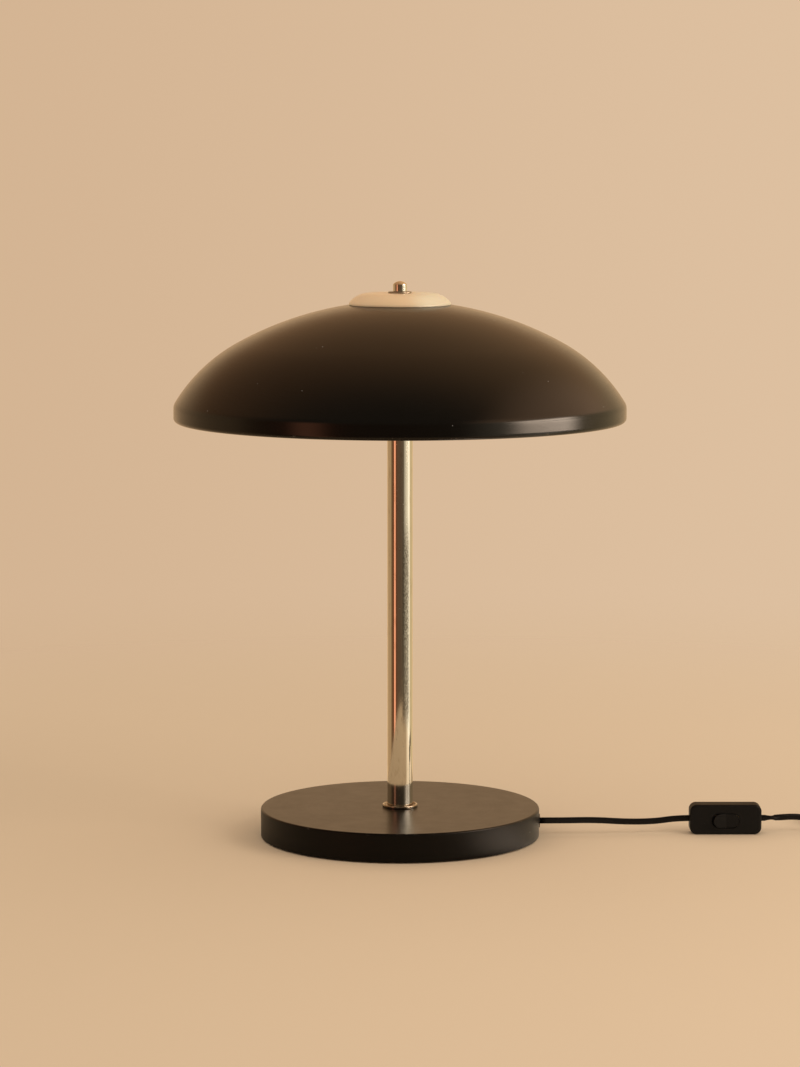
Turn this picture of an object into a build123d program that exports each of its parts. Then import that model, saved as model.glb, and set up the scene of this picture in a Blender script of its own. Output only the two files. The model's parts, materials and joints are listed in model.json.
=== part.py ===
from build123d import *
import math
import os

# Mushroom table lamp. Millimetres, +Z up, origin on the table at the middle of the base.
# +X is the side where the cord leaves the base, and -Y is the front.

# Fits
THREAD_GAP = 0.05        # radial gap of a thread, which is a plain cylinder here
BRAZE_GAP = 0.05         # radial gap of a brazed or glued joint
SEAT_GAP = 0.05          # between pieces that turn or lift on each other
PART_GAP = 0.3           # between pieces that only lie near each other
CORD_FIT = 0.1           # around the cord where it passes a hole

# Base
BASE_DIAMETER = 240.0
BASE_HEIGHT = 25.0
BASE_WALL = 1.2
BASE_EDGE_RADIUS = 1.6
BASE_RIM_LIFT = 0.8      # lower rim above the table
FELT_THICKNESS = 1.5
FELT_MARGIN = 3.0        # felt radius is this much under the plate's
PLATE_THICKNESS = 2.0
WEIGHT_MARGIN = 20.0     # weight's rim, in from the edge of the base
WEIGHT_CLEARANCE = 5.3   # under the weight, for the cord's clamp and its screws
NUT_POCKET_DIAMETER = 40.0
NUT_POCKET_DEPTH = 11.0
CHANNEL_WIDTH = 9.0
PLATE_BOSS_DIAMETER = 12.0
PLATE_BOSS_INSET = 20.0  # screw bosses, in from the weight's rim
PLATE_SCREW_COUNT = 3
PLATE_SCREW_DIAMETER = 3.0
PLATE_SCREW_HEAD = 5.6
PLATE_SCREW_LENGTH = 9.0

# Threaded tubes, nuts and washers
TUBE_THREAD_DIAMETER = 10.0
TUBE_THREAD_BORE = 7.0
TUBE_NUT_FLATS = 14.0
TUBE_NUT_HEIGHT = 4.0
TUBE_ENGAGEMENT = 12.0   # thread length inside a bush
TUBE_OVERHANG = 1.0      # thread end past its nut
BASE_WASHER_DIAMETER = 26.0
BASE_WASHER_THICKNESS = 1.6

# Cord grip in the base
CORD_EXIT_HEIGHT = 12.6
GROMMET_DIAMETER = 10.0
GROMMET_FLANGE_DIAMETER = 11.8
GROMMET_FLANGE = 0.6
CLAMP_LENGTH = 10.0
CLAMP_WIDTH = 30.0
CLAMP_THICKNESS = 2.5
CLAMP_INSET = 12.0       # clamp's middle, in from the weight's rim
CLAMP_SCREW_SPACING = 20.0
CLAMP_SCREW_DIAMETER = 3.0
CLAMP_SCREW_LENGTH = 9.0
CLAMP_HEAD_DIAMETER = 5.6
CLAMP_HEAD_HEIGHT = 1.8
CORD_TAIL_INSET = 25.0   # cord's sheath ends here, in from the weight's rim

# Stem
STEM_DIAMETER = 22.0
STEM_WALL = 1.0
STEM_LENGTH = 352.0
FLANGE_DIAMETER = 30.4
FLANGE_FLOOR = 1.2
FLANGE_HEIGHT = 2.6
FLANGE_BEAD = 2.0        # width of the raised edge
BUSH_LENGTH = 14.0

# Lamp head
CLUSTER_DIAMETER = 46.0
CLUSTER_WALL = 2.5
CLUSTER_HEIGHT = 36.0
LID_THICKNESS = 2.5
LID_SPIGOT = 3.0
SOCKET_HEIGHT = 18.0     # lamp holders' axis above the foot of the cup
BLOCK_LENGTH = 18.0
BLOCK_DEPTH = 8.5
BLOCK_HEIGHT = 20.0
BLOCK_FRONT = 9.0        # front of the terminal block, from the lamp's axis
LEAD_DIAMETER = 4.6
LEAD_DIP = 7.0           # bend under the stem, from below the tube's end
LEAD_END_HEIGHT = 10.5   # lead meets the terminal block this far above the cup's floor
LEAD_TOP_BEND = 6.0
HOLDER_WIRE_DIAMETER = 2.8
HOLDER_WIRE_BEND = 5.0
HOLDER_WIRE_SPACING = 10.0

# Lamp holders and bulbs
HOLDER_NIPPLE_INSIDE = 4.0
HOLDER_DIAMETER = 39.0
HOLDER_BACK_DIAMETER = 23.0
HOLDER_CONE_LENGTH = 12.0
HOLDER_CAP_LENGTH = 22.0
HOLDER_BOSS = 8.0
HOLDER_SHOULDER = 15.0   # inside radius behind the insert
HOLDER_WALL = 2.2
INSERT_THICKNESS = 10.0
SLEEVE_LENGTH = 33.0
SLEEVE_BORE = 29.2
THREAD_SHELL_DIAMETER = 28.6
THREAD_SHELL_WALL = 0.6
THREAD_SHELL_LENGTH = 18.0
CONTACT_DIAMETER = 7.0
CONTACT_HEIGHT = 3.0
BULB_CAP_DIAMETER = 26.4
BULB_CAP_LENGTH = 25.0
BULB_CAP_WALL = 1.2
BULB_PIP_DIAMETER = 9.0
BULB_PIP_HEIGHT = 1.5
BULB_NECK_DIAMETER = 25.0
BULB_DIAMETER = 45.0
BULB_GLASS_LENGTH = 50.0
BULB_WALL = 0.8

# Shade
SHADE_RISE = 82.6        # crown above the top of the stem
SHADE_DIAMETER = 385.5
SHADE_SHEET = 1.0
SHADE_CROWN_SHARE = 0.7458   # radius of the crown's arc, as a share of the diameter
SHADE_CROWN_ANGLE = 28.9     # degrees from the axis to the end of the crown's arc
SHADE_FLANK_SHARE = 0.3697   # radius of the flank's arc, as a share of the diameter
SHADE_SHOULDER_RADIUS = 10.0
SHADE_BAND_HEIGHT = 7.6
SHADE_ROLL_RADIUS = 3.8
SHADE_ROLL_LIP = 2.0
ROD_DIAMETER = 8.0
ROD_HOLE_GAP = 0.5
ROD_NUT_FLATS = 13.0
ROD_NUT_HEIGHT = 4.0
ROD_OVERHANG = 1.0
SEAT_DIAMETER = 40.0
SEAT_THICKNESS = 2.0

# Cap and finial
CAP_DIAMETER = 86.6
CAP_RISE = 6.7           # top of the cap above the crown of the shade
CAP_HEIGHT = 9.4
CAP_SKIRT = 1.0
CAP_SHOULDER_RADIUS = 19.6
CAP_WALL = 2.2
CAP_HUB_DIAMETER = 22.0
FINIAL_WASHER_DIAMETER = 20.0
FINIAL_WASHER_THICKNESS = 1.2
FINIAL_SPIGOT_DIAMETER = 9.6
FINIAL_LIP = 0.45        # the spigot's spread end, which keeps the washer on the knob
FINIAL_LIP_HEIGHT = 0.4
FINIAL_FIT = 0.08
KNOB_DIAMETER = 12.0
KNOB_HEIGHT = 8.95
KNOB_DOME = 2.9
KNOB_ROOF = 2.5
KNOB_ROD_END_GAP = 1.0

# Flat twin cord
CORD_WIDTH = 5.4
CORD_THICKNESS = 3.2
CORD_GRIP = 7.0          # length of cord held inside each end of the switch
CORD_BEND_SHARE = 0.45   # part of the shorter run beside a corner that its arc takes

# In-line switch, standing on its long edge with the rocker to the front
SWITCH_REACH = 161.5     # middle of the switch, out from the edge of the base
SWITCH_FRONT_Y = 0.5
SWITCH_LENGTH = 62.0
SWITCH_HEIGHT = 26.0
SWITCH_DEPTH = 17.0
SWITCH_WALL = 1.8
SWITCH_CORNER_RADIUS = 6.0
SWITCH_EDGE_RADIUS = 2.2
ROCKER_LENGTH = 22.8
ROCKER_HEIGHT = 12.2
ROCKER_END_GAP = 0.6
ROCKER_SIDE_GAP = 0.4
ROCKER_DROP = 1.0        # rocker's middle below the middle of the switch
ROCKER_TILT = 8.0        # each way from level
ROCKER_PIVOT_DEPTH = 3.2
ROCKER_BACK_DEPTH = 5.0
ROCKER_PIN_DIAMETER = 2.0
ROCKER_PIN_FIT = 0.05
PILLAR_THICKNESS = 2.4
PILLAR_LENGTH = 5.0
PILLAR_DEPTH = 5.6
BRIDGE_LENGTH = 16.0
BRIDGE_HEIGHT = 4.0
BRIDGE_THICKNESS = 0.8
TERMINAL_LENGTH = 6.0
TERMINAL_HEIGHT = 5.0
TERMINAL_TOP_DEPTH = 7.4
TERMINAL_OFFSET = 11.0
CORE_DIAMETER = 2.0
CORE_SPACING = 2.8
SWITCH_BOSS_DIAMETER = 5.6
SWITCH_SCREW_INSET_X = 10.0
SWITCH_SCREW_INSET_Z = 5.6
SWITCH_SCREW_DIAMETER = 2.2
SWITCH_SCREW_HEAD = 4.2
SWITCH_SCREW_LENGTH = 12.0

# Coil of spare cord, plug and tie
COIL_REACH = 115.5       # middle of the coil, out from the middle of the switch
COIL_START_Y = 18.0
COIL_RADIUS = 36.5       # middle of the outermost turn
COIL_TURNS = 4           # in each of the two layers
COIL_GAP = 0.7
TIE_THICKNESS = 0.7
TIE_WIDTH = 9.0
TIE_CORNER_RADIUS = 1.5
PLUG_WIDTH = 35.3
PLUG_HEIGHT = 13.7
PLUG_LENGTH = 36.0
PLUG_FRONT_LENGTH = 10.0
PLUG_REAR_WIDTH = 14.0
PLUG_EDGE_RADIUS = 2.5
PLUG_LEAD_LENGTH = 43.0  # from the coil to the plug's sleeve
SLEEVE_RELIEF_LENGTH = 24.0
SLEEVE_RELIEF_ROOT = 10.0
SLEEVE_RELIEF_TIP = 7.4
SLEEVE_GROOVE_COUNT = 4
SLEEVE_GROOVE_WIDTH = 1.6
SLEEVE_GROOVE_DEPTH = 1.0
PLUG_PIN_DIAMETER = 4.0
PLUG_PIN_LENGTH = 19.0
PLUG_PIN_SPACING = 18.6
PLUG_PIN_TIP_RADIUS = 1.8

# Levels and places worked out from the sizes above
BASE_RADIUS = BASE_DIAMETER / 2
BASE_INNER_RADIUS = BASE_RADIUS - BASE_WALL
PLATE_TOP = FELT_THICKNESS + PLATE_THICKNESS
WEIGHT_RADIUS = BASE_RADIUS - WEIGHT_MARGIN
WEIGHT_TOP = BASE_HEIGHT - BASE_WALL
WEIGHT_FOOT = PLATE_TOP + WEIGHT_CLEARANCE
NUT_POCKET_TOP = WEIGHT_FOOT + NUT_POCKET_DEPTH
TUBE_THREAD_RADIUS = TUBE_THREAD_DIAMETER / 2
TUBE_HOLE_RADIUS = TUBE_THREAD_RADIUS + THREAD_GAP
TUBE_BORE_RADIUS = TUBE_THREAD_BORE / 2
BASE_NUT_TOP = NUT_POCKET_TOP - BASE_WASHER_THICKNESS
BASE_NUT_FOOT = BASE_NUT_TOP - TUBE_NUT_HEIGHT
BASE_NIPPLE_FOOT = BASE_NUT_FOOT - TUBE_OVERHANG
GROMMET_FACE_X = BASE_RADIUS + GROMMET_FLANGE
CLAMP_X = WEIGHT_RADIUS - CLAMP_INSET
CLAMP_FOOT = WEIGHT_FOOT - CLAMP_THICKNESS
CORD_TAIL_END = WEIGHT_RADIUS - CORD_TAIL_INSET
STEM_FOOT = BASE_HEIGHT + FLANGE_FLOOR
STEM_TOP = STEM_FOOT + STEM_LENGTH
BUSH_RADIUS = STEM_DIAMETER / 2 - STEM_WALL - BRAZE_GAP
CLUSTER_RADIUS = CLUSTER_DIAMETER / 2
CLUSTER_BORE_RADIUS = CLUSTER_RADIUS - CLUSTER_WALL
CLUSTER_FLOOR = STEM_TOP + CLUSTER_WALL
CLUSTER_TOP = STEM_TOP + CLUSTER_HEIGHT
LID_TOP = CLUSTER_TOP + LID_THICKNESS
SOCKET_AXIS = STEM_TOP + SOCKET_HEIGHT
HOLDER_BACK = CLUSTER_RADIUS + PART_GAP
HOLDER_FRONT = HOLDER_BACK + HOLDER_CAP_LENGTH
INSERT_BACK = HOLDER_FRONT - INSERT_THICKNESS
BULB_PIP_END = HOLDER_FRONT + CONTACT_HEIGHT + SEAT_GAP
BULB_CAP_BACK = BULB_PIP_END + BULB_PIP_HEIGHT
BULB_CAP_FRONT = BULB_CAP_BACK + BULB_CAP_LENGTH
CROWN_TOP = STEM_TOP + SHADE_RISE
SHADE_CROWN_RADIUS = SHADE_DIAMETER * SHADE_CROWN_SHARE
SHADE_FLANK_RADIUS = SHADE_DIAMETER * SHADE_FLANK_SHARE
ROD_RADIUS = ROD_DIAMETER / 2
ROD_HOLE_RADIUS = ROD_RADIUS + ROD_HOLE_GAP
ROD_FOOT = CLUSTER_TOP - LID_SPIGOT - ROD_NUT_HEIGHT - ROD_OVERHANG
SEAT_RADIUS = SEAT_DIAMETER / 2
CROWN_INNER_RADIUS = SHADE_CROWN_RADIUS - SHADE_SHEET
SEAT_TOP = CROWN_TOP - SHADE_CROWN_RADIUS + math.sqrt(CROWN_INNER_RADIUS**2 - SEAT_RADIUS**2)
CAP_TOP = CROWN_TOP + CAP_RISE
WASHER_FOOT = CAP_TOP + SEAT_GAP
WASHER_TOP = WASHER_FOOT + FINIAL_WASHER_THICKNESS
KNOB_FOOT = WASHER_TOP + SEAT_GAP
KNOB_TOP = KNOB_FOOT + KNOB_HEIGHT
ROD_TOP = KNOB_TOP - KNOB_ROOF - KNOB_ROD_END_GAP
SWITCH_MIDDLE_X = BASE_RADIUS + SWITCH_REACH
SWITCH_LEFT = SWITCH_MIDDLE_X - SWITCH_LENGTH / 2
SWITCH_RIGHT = SWITCH_MIDDLE_X + SWITCH_LENGTH / 2
SWITCH_MIDDLE_Y = SWITCH_FRONT_Y + SWITCH_DEPTH / 2
SWITCH_BACK_Y = SWITCH_FRONT_Y + SWITCH_DEPTH
SWITCH_MIDDLE_Z = SWITCH_HEIGHT / 2
ROCKER_Z = SWITCH_MIDDLE_Z - ROCKER_DROP
ROCKER_PIVOT_Y = SWITCH_FRONT_Y + ROCKER_PIVOT_DEPTH
COIL_LOWER_Z = TIE_THICKNESS + PART_GAP + CORD_WIDTH / 2
COIL_UPPER_Z = COIL_LOWER_Z + CORD_WIDTH + COIL_GAP
COIL_PITCH = CORD_THICKNESS + COIL_GAP
COIL_MIDDLE_X = SWITCH_MIDDLE_X + COIL_REACH
COIL_MIDDLE_Y = COIL_START_Y + COIL_RADIUS
PLUG_AXIS_X = COIL_MIDDLE_X + COIL_RADIUS
PLUG_AXIS_Z = PLUG_HEIGHT / 2
SLEEVE_END_Y = COIL_MIDDLE_Y + PLUG_LEAD_LENGTH
PLUG_REAR_Y = SLEEVE_END_Y + SLEEVE_RELIEF_LENGTH

# The cord's free stretches, as points chosen by hand. Each first and last run goes straight into
# the grommet, the switch, the coil or the plug.
CORD_TO_SWITCH = [
    (GROMMET_FACE_X, 0, CORD_EXIT_HEIGHT),
    (BASE_RADIUS + 21, 0, CORD_EXIT_HEIGHT),
    (BASE_RADIUS + 48, 1.8, 12.8),
    (BASE_RADIUS + 77, 4.6, 10.5),
    (BASE_RADIUS + 101, 7.6, 10.4),
    (SWITCH_LEFT - 10.5, SWITCH_MIDDLE_Y, SWITCH_MIDDLE_Z),
    (SWITCH_LEFT + CORD_GRIP, SWITCH_MIDDLE_Y, SWITCH_MIDDLE_Z),
]
CORD_FROM_SWITCH = [
    (SWITCH_RIGHT - CORD_GRIP, SWITCH_MIDDLE_Y, SWITCH_MIDDLE_Z),
    (SWITCH_RIGHT + 9.5, SWITCH_MIDDLE_Y, SWITCH_MIDDLE_Z),
    (SWITCH_RIGHT + 31.5, 12.5, 14.0),
    (SWITCH_RIGHT + 50.5, 16.5, 9.6),
    (COIL_MIDDLE_X - 16, COIL_START_Y, COIL_LOWER_Z),
    (COIL_MIDDLE_X, COIL_START_Y, COIL_LOWER_Z),
]
CORD_TO_PLUG = [
    (PLUG_AXIS_X, COIL_MIDDLE_Y, COIL_UPPER_Z),
    (PLUG_AXIS_X, COIL_MIDDLE_Y + 14, COIL_UPPER_Z),
    (PLUG_AXIS_X, SLEEVE_END_Y - 13, PLUG_AXIS_Z),
    (PLUG_AXIS_X, SLEEVE_END_Y, PLUG_AXIS_Z),
]


def outline(*pieces):
    """A face from lines and arcs that close on each other."""
    return make_face([edge for piece in pieces for edge in piece.edges()])


def turned(*pieces):
    """A solid turned about Z from its half section, drawn as (radius, height)."""
    return revolve(Plane.XZ * outline(*pieces), Axis.Z)


def turned_along_x(*pieces):
    """A solid turned about X from its half section, drawn as (place along X, radius)."""
    return revolve(Plane.XZ * outline(*pieces), Axis.X)


def rod(radius, foot, top):
    return Pos(0, 0, foot) * extrude(Circle(radius), top - foot)


def ring(radius, bore_radius, foot, top):
    return Pos(0, 0, foot) * extrude(Circle(radius) - Circle(bore_radius), top - foot)


def rod_along_x(radius, start, end):
    plane = Plane((start, 0, 0), x_dir=(0, 1, 0), z_dir=(1, 0, 0))
    return plane * extrude(Circle(radius), end - start)


def ring_along_x(radius, bore_radius, start, end):
    plane = Plane((start, 0, 0), x_dir=(0, 1, 0), z_dir=(1, 0, 0))
    return plane * extrude(Circle(radius) - Circle(bore_radius), end - start)


def top_corner(radius, top, rounding):
    """A quarter arc from a flat top to an upright side, drawn as (radius, height)."""
    inset = rounding * (1 - math.sqrt(0.5))
    return ThreePointArc((radius - rounding, top), (radius - inset, top - inset), (radius, top - rounding))


def hex_nut(flats, bore_radius, foot, height):
    blank = RegularPolygon(flats / 2, 6, major_radius=False)
    return Pos(0, 0, foot) * extrude(blank - Circle(bore_radius), height)


def countersunk(shank_diameter, head_diameter, length, gap=0.0):
    """A countersunk screw along +Z with its head's face at 0. A gap turns it into its own hole."""
    shank = shank_diameter / 2 + gap
    head = head_diameter / 2 + gap
    slope = head - shank
    tip = length + gap
    return turned(Polyline((0, 0), (head, 0), (shank, slope), (shank, tip), (0, tip), close=True))


def pan_screw(shank_diameter, head_diameter, head_height, length):
    """A pan-head screw along +Z, with the seat of its head at 0."""
    return rod(head_diameter / 2, -head_height, 0) + rod(shank_diameter / 2, 0, length)


def around(count, radius):
    """Places spaced evenly on a circle about Z, the first opposite the cord."""
    turns = [math.radians(180 + 360 * index / count) for index in range(count)]
    return [(radius * math.cos(turn), radius * math.sin(turn)) for turn in turns]


def cord_section(origin, direction, gap=0.0):
    """The flat cord's section across its path, standing on edge. A gap turns it into its own hole."""
    section = SlotOverall(CORD_WIDTH + 2 * gap, CORD_THICKNESS + 2 * gap)
    return Plane(origin, x_dir=(0, 0, 1), z_dir=direction) * section


def corner_radii(points):
    """The largest tangent arc at each corner that leaves its runs a straight middle."""
    radii = []
    for before, corner, after in zip(points, points[1:], points[2:]):
        arriving = Vector(*corner) - Vector(*before)
        leaving = Vector(*after) - Vector(*corner)
        half_turn = math.radians(arriving.get_angle(leaving)) / 2
        radii.append(CORD_BEND_SHARE * min(arriving.length, leaving.length) / math.tan(half_turn))
    return radii


def free_cord(name, points):
    """A free stretch of cord on straight runs and tangent arcs."""
    radii = corner_radii(points)
    path = FilletPolyline(*points, radius=radii)
    cord = sweep(cord_section(path @ 0, path % 0), path)
    ratio = cord.volume / (SlotOverall(CORD_WIDTH, CORD_THICKNESS).area * path.length)
    print(name, "length", round(path.length, 1), "radii", [round(radius) for radius in radii],
          "volume against section times length", round(ratio, 4))
    return cord


def make_base():
    """Pressed cover, hanging weight, closing plate and felt, with the threaded tube that holds them."""
    inner_edge = BASE_EDGE_RADIUS - BASE_WALL
    cover = turned(
        Line((TUBE_HOLE_RADIUS, BASE_HEIGHT), (BASE_RADIUS - BASE_EDGE_RADIUS, BASE_HEIGHT)),
        top_corner(BASE_RADIUS, BASE_HEIGHT, BASE_EDGE_RADIUS),
        Polyline((BASE_RADIUS, BASE_HEIGHT - BASE_EDGE_RADIUS), (BASE_RADIUS, BASE_RIM_LIFT),
                 (BASE_INNER_RADIUS, BASE_RIM_LIFT), (BASE_INNER_RADIUS, WEIGHT_TOP - inner_edge)),
        top_corner(BASE_INNER_RADIUS, WEIGHT_TOP, inner_edge),
        Polyline((BASE_INNER_RADIUS - inner_edge, WEIGHT_TOP), (TUBE_HOLE_RADIUS, WEIGHT_TOP),
                 (TUBE_HOLE_RADIUS, BASE_HEIGHT)),
    )
    cover -= Pos(0, 0, CORD_EXIT_HEIGHT) * rod_along_x(
        GROMMET_DIAMETER / 2 + THREAD_GAP, BASE_INNER_RADIUS - BASE_WALL, BASE_RADIUS + BASE_WALL)

    screw_places = around(PLATE_SCREW_COUNT, WEIGHT_RADIUS - PLATE_BOSS_INSET)
    plate_screw = (PLATE_SCREW_DIAMETER, PLATE_SCREW_HEAD, PLATE_SCREW_LENGTH)
    channel_top = CORD_EXIT_HEIGHT + CORD_WIDTH / 2 + CORD_FIT
    weight = ring(WEIGHT_RADIUS, TUBE_HOLE_RADIUS, WEIGHT_FOOT, WEIGHT_TOP)
    weight -= rod(NUT_POCKET_DIAMETER / 2, WEIGHT_FOOT, NUT_POCKET_TOP)
    weight -= Pos(0, 0, WEIGHT_FOOT) * Box(BASE_RADIUS, CHANNEL_WIDTH, channel_top - WEIGHT_FOOT,
                                          align=(Align.MIN, Align.CENTER, Align.MIN))
    for x, y in screw_places:
        weight += Pos(x, y, 0) * rod(PLATE_BOSS_DIAMETER / 2, PLATE_TOP, WEIGHT_FOOT)
        weight -= Pos(x, y, FELT_THICKNESS) * countersunk(*plate_screw, gap=THREAD_GAP)
    clamp_screw_hole = CLAMP_SCREW_DIAMETER / 2 + THREAD_GAP
    for side in (-1, 1):
        hole = rod(clamp_screw_hole, WEIGHT_FOOT, CLAMP_FOOT + CLAMP_SCREW_LENGTH + THREAD_GAP)
        weight -= Pos(CLAMP_X, side * CLAMP_SCREW_SPACING / 2, 0) * hole

    plate = rod(BASE_INNER_RADIUS - PART_GAP, FELT_THICKNESS, PLATE_TOP)
    screws = []
    for x, y in screw_places:
        plate -= Pos(x, y, FELT_THICKNESS) * countersunk(*plate_screw, gap=THREAD_GAP)
        screws.append(Pos(x, y, FELT_THICKNESS) * countersunk(*plate_screw))
    nipple_top = STEM_FOOT + TUBE_ENGAGEMENT
    return {
        "base_cover": cover,
        "base_weight": weight,
        "base_plate": plate,
        "base_plate_screws": screws,
        "base_felt": rod(BASE_INNER_RADIUS - PART_GAP - FELT_MARGIN, 0, FELT_THICKNESS),
        "base_nipple": ring(TUBE_THREAD_RADIUS, TUBE_BORE_RADIUS, BASE_NIPPLE_FOOT, nipple_top),
        "base_washer": ring(BASE_WASHER_DIAMETER / 2, TUBE_HOLE_RADIUS, BASE_NUT_TOP, NUT_POCKET_TOP),
        "base_nut": hex_nut(TUBE_NUT_FLATS, TUBE_HOLE_RADIUS, BASE_NUT_FOOT, TUBE_NUT_HEIGHT),
    }


def make_cord_grip():
    """Grommet in the base's wall, and the clamp that holds the cord's end in the weight's channel."""
    flange_radius = GROMMET_FLANGE_DIAMETER / 2
    wall_inside = math.sqrt(BASE_INNER_RADIUS**2 - flange_radius**2) - SEAT_GAP
    back = wall_inside - GROMMET_FLANGE
    shank_radius = GROMMET_DIAMETER / 2
    grommet = Pos(0, 0, CORD_EXIT_HEIGHT) * turned_along_x(Polyline(
        (back, 0), (back, flange_radius), (wall_inside, flange_radius), (wall_inside, shank_radius),
        (BASE_RADIUS + SEAT_GAP, shank_radius), (BASE_RADIUS + SEAT_GAP, flange_radius),
        (GROMMET_FACE_X, flange_radius), (GROMMET_FACE_X, 0), close=True))
    tail_end = (CORD_TAIL_END, 0, CORD_EXIT_HEIGHT)
    tail_length = GROMMET_FACE_X - CORD_TAIL_END
    grommet -= extrude(cord_section(tail_end, (1, 0, 0), gap=CORD_FIT), tail_length + BASE_WALL)

    pad_height = CORD_EXIT_HEIGHT - CORD_WIDTH / 2 - CORD_FIT - WEIGHT_FOOT
    clamp = Pos(CLAMP_X, 0, CLAMP_FOOT + CLAMP_THICKNESS / 2) * Box(
        CLAMP_LENGTH, CLAMP_WIDTH, CLAMP_THICKNESS)
    clamp += Pos(CLAMP_X, 0, WEIGHT_FOOT + pad_height / 2) * Box(
        CLAMP_LENGTH, CHANNEL_WIDTH - 2 * PART_GAP, pad_height)
    screws = []
    for side in (-1, 1):
        place = Pos(CLAMP_X, side * CLAMP_SCREW_SPACING / 2, CLAMP_FOOT)
        clamp -= place * rod(CLAMP_SCREW_DIAMETER / 2 + THREAD_GAP, 0, CLAMP_THICKNESS)
        screws.append(place * pan_screw(
            CLAMP_SCREW_DIAMETER, CLAMP_HEAD_DIAMETER, CLAMP_HEAD_HEIGHT, CLAMP_SCREW_LENGTH))
    return {
        "cord_grommet": grommet,
        "cord_clamp": clamp,
        "cord_clamp_screws": screws,
        "cord_tail": extrude(cord_section(tail_end, (1, 0, 0)), tail_length),
    }


def make_stem():
    """Plated tube on its dished collar, with a threaded bush brazed into each end."""
    bead_radius = FLANGE_BEAD / 2
    outer = FLANGE_DIAMETER / 2
    bead_foot = BASE_HEIGHT + FLANGE_HEIGHT - bead_radius
    flange = turned(
        Polyline((outer - FLANGE_BEAD, bead_foot), (outer - FLANGE_BEAD, STEM_FOOT),
                 (TUBE_HOLE_RADIUS, STEM_FOOT), (TUBE_HOLE_RADIUS, BASE_HEIGHT),
                 (outer, BASE_HEIGHT), (outer, bead_foot)),
        ThreePointArc((outer, bead_foot), (outer - bead_radius, bead_foot + bead_radius),
                      (outer - FLANGE_BEAD, bead_foot)),
    )
    return {
        "stem_flange": flange,
        "stem_tube": ring(STEM_DIAMETER / 2, STEM_DIAMETER / 2 - STEM_WALL, STEM_FOOT, STEM_TOP),
        "stem_bush_lower": ring(BUSH_RADIUS, TUBE_HOLE_RADIUS, STEM_FOOT, STEM_FOOT + BUSH_LENGTH),
        "stem_bush_upper": ring(BUSH_RADIUS, TUBE_HOLE_RADIUS, STEM_TOP - BUSH_LENGTH, STEM_TOP),
    }


def make_lamp_head():
    """Cup on top of the stem that carries the lamp holders and the wiring, with its lid."""
    cup = rod(CLUSTER_RADIUS, STEM_TOP, CLUSTER_TOP) - rod(CLUSTER_BORE_RADIUS, CLUSTER_FLOOR, CLUSTER_TOP)
    cup -= rod(TUBE_HOLE_RADIUS, STEM_TOP, CLUSTER_FLOOR)
    cup -= Pos(0, 0, SOCKET_AXIS) * rod_along_x(TUBE_HOLE_RADIUS, -CLUSTER_DIAMETER, CLUSTER_DIAMETER)
    rod_thread = ROD_RADIUS + THREAD_GAP
    lid = ring(CLUSTER_RADIUS, rod_thread, CLUSTER_TOP, LID_TOP)
    lid += ring(CLUSTER_BORE_RADIUS - SEAT_GAP, rod_thread, CLUSTER_TOP - LID_SPIGOT, CLUSTER_TOP)
    nipple_top = CLUSTER_FLOOR + TUBE_NUT_HEIGHT + TUBE_OVERHANG
    block = Pos(0, BLOCK_FRONT, CLUSTER_FLOOR) * Box(
        BLOCK_LENGTH, BLOCK_DEPTH, BLOCK_HEIGHT, align=(Align.CENTER, Align.MIN, Align.MIN))
    return {
        "cluster_nipple": ring(TUBE_THREAD_RADIUS, TUBE_BORE_RADIUS, STEM_TOP - TUBE_ENGAGEMENT, nipple_top),
        "cluster_nut": hex_nut(TUBE_NUT_FLATS, TUBE_HOLE_RADIUS, CLUSTER_FLOOR, TUBE_NUT_HEIGHT),
        "cluster_cup": cup,
        "cluster_lid": lid,
        "terminal_block": block,
    }


def make_inner_lead():
    """Sleeved lead from the cord's end, along the weight's channel and up the stem to the terminals."""
    low = BASE_NIPPLE_FOOT - LEAD_DIP
    high = CLUSTER_FLOOR + LEAD_END_HEIGHT
    pocket_edge = NUT_POCKET_DIAMETER / 2
    points = [
        (CORD_TAIL_END, 0, CORD_EXIT_HEIGHT),
        ((pocket_edge + CORD_TAIL_END) / 2, 0, CORD_EXIT_HEIGHT),
        (pocket_edge, 0, low),
        (0, 0, low),
        (0, 0, high),
        (0, BLOCK_FRONT, high),
    ]
    radii = corner_radii(points)
    path = FilletPolyline(*points, radius=[radii[0], radii[1], LEAD_DIP, LEAD_TOP_BEND])
    section = Plane(path @ 0, z_dir=path % 0) * Circle(LEAD_DIAMETER / 2)
    return {"inner_lead": sweep(section, path)}


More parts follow.
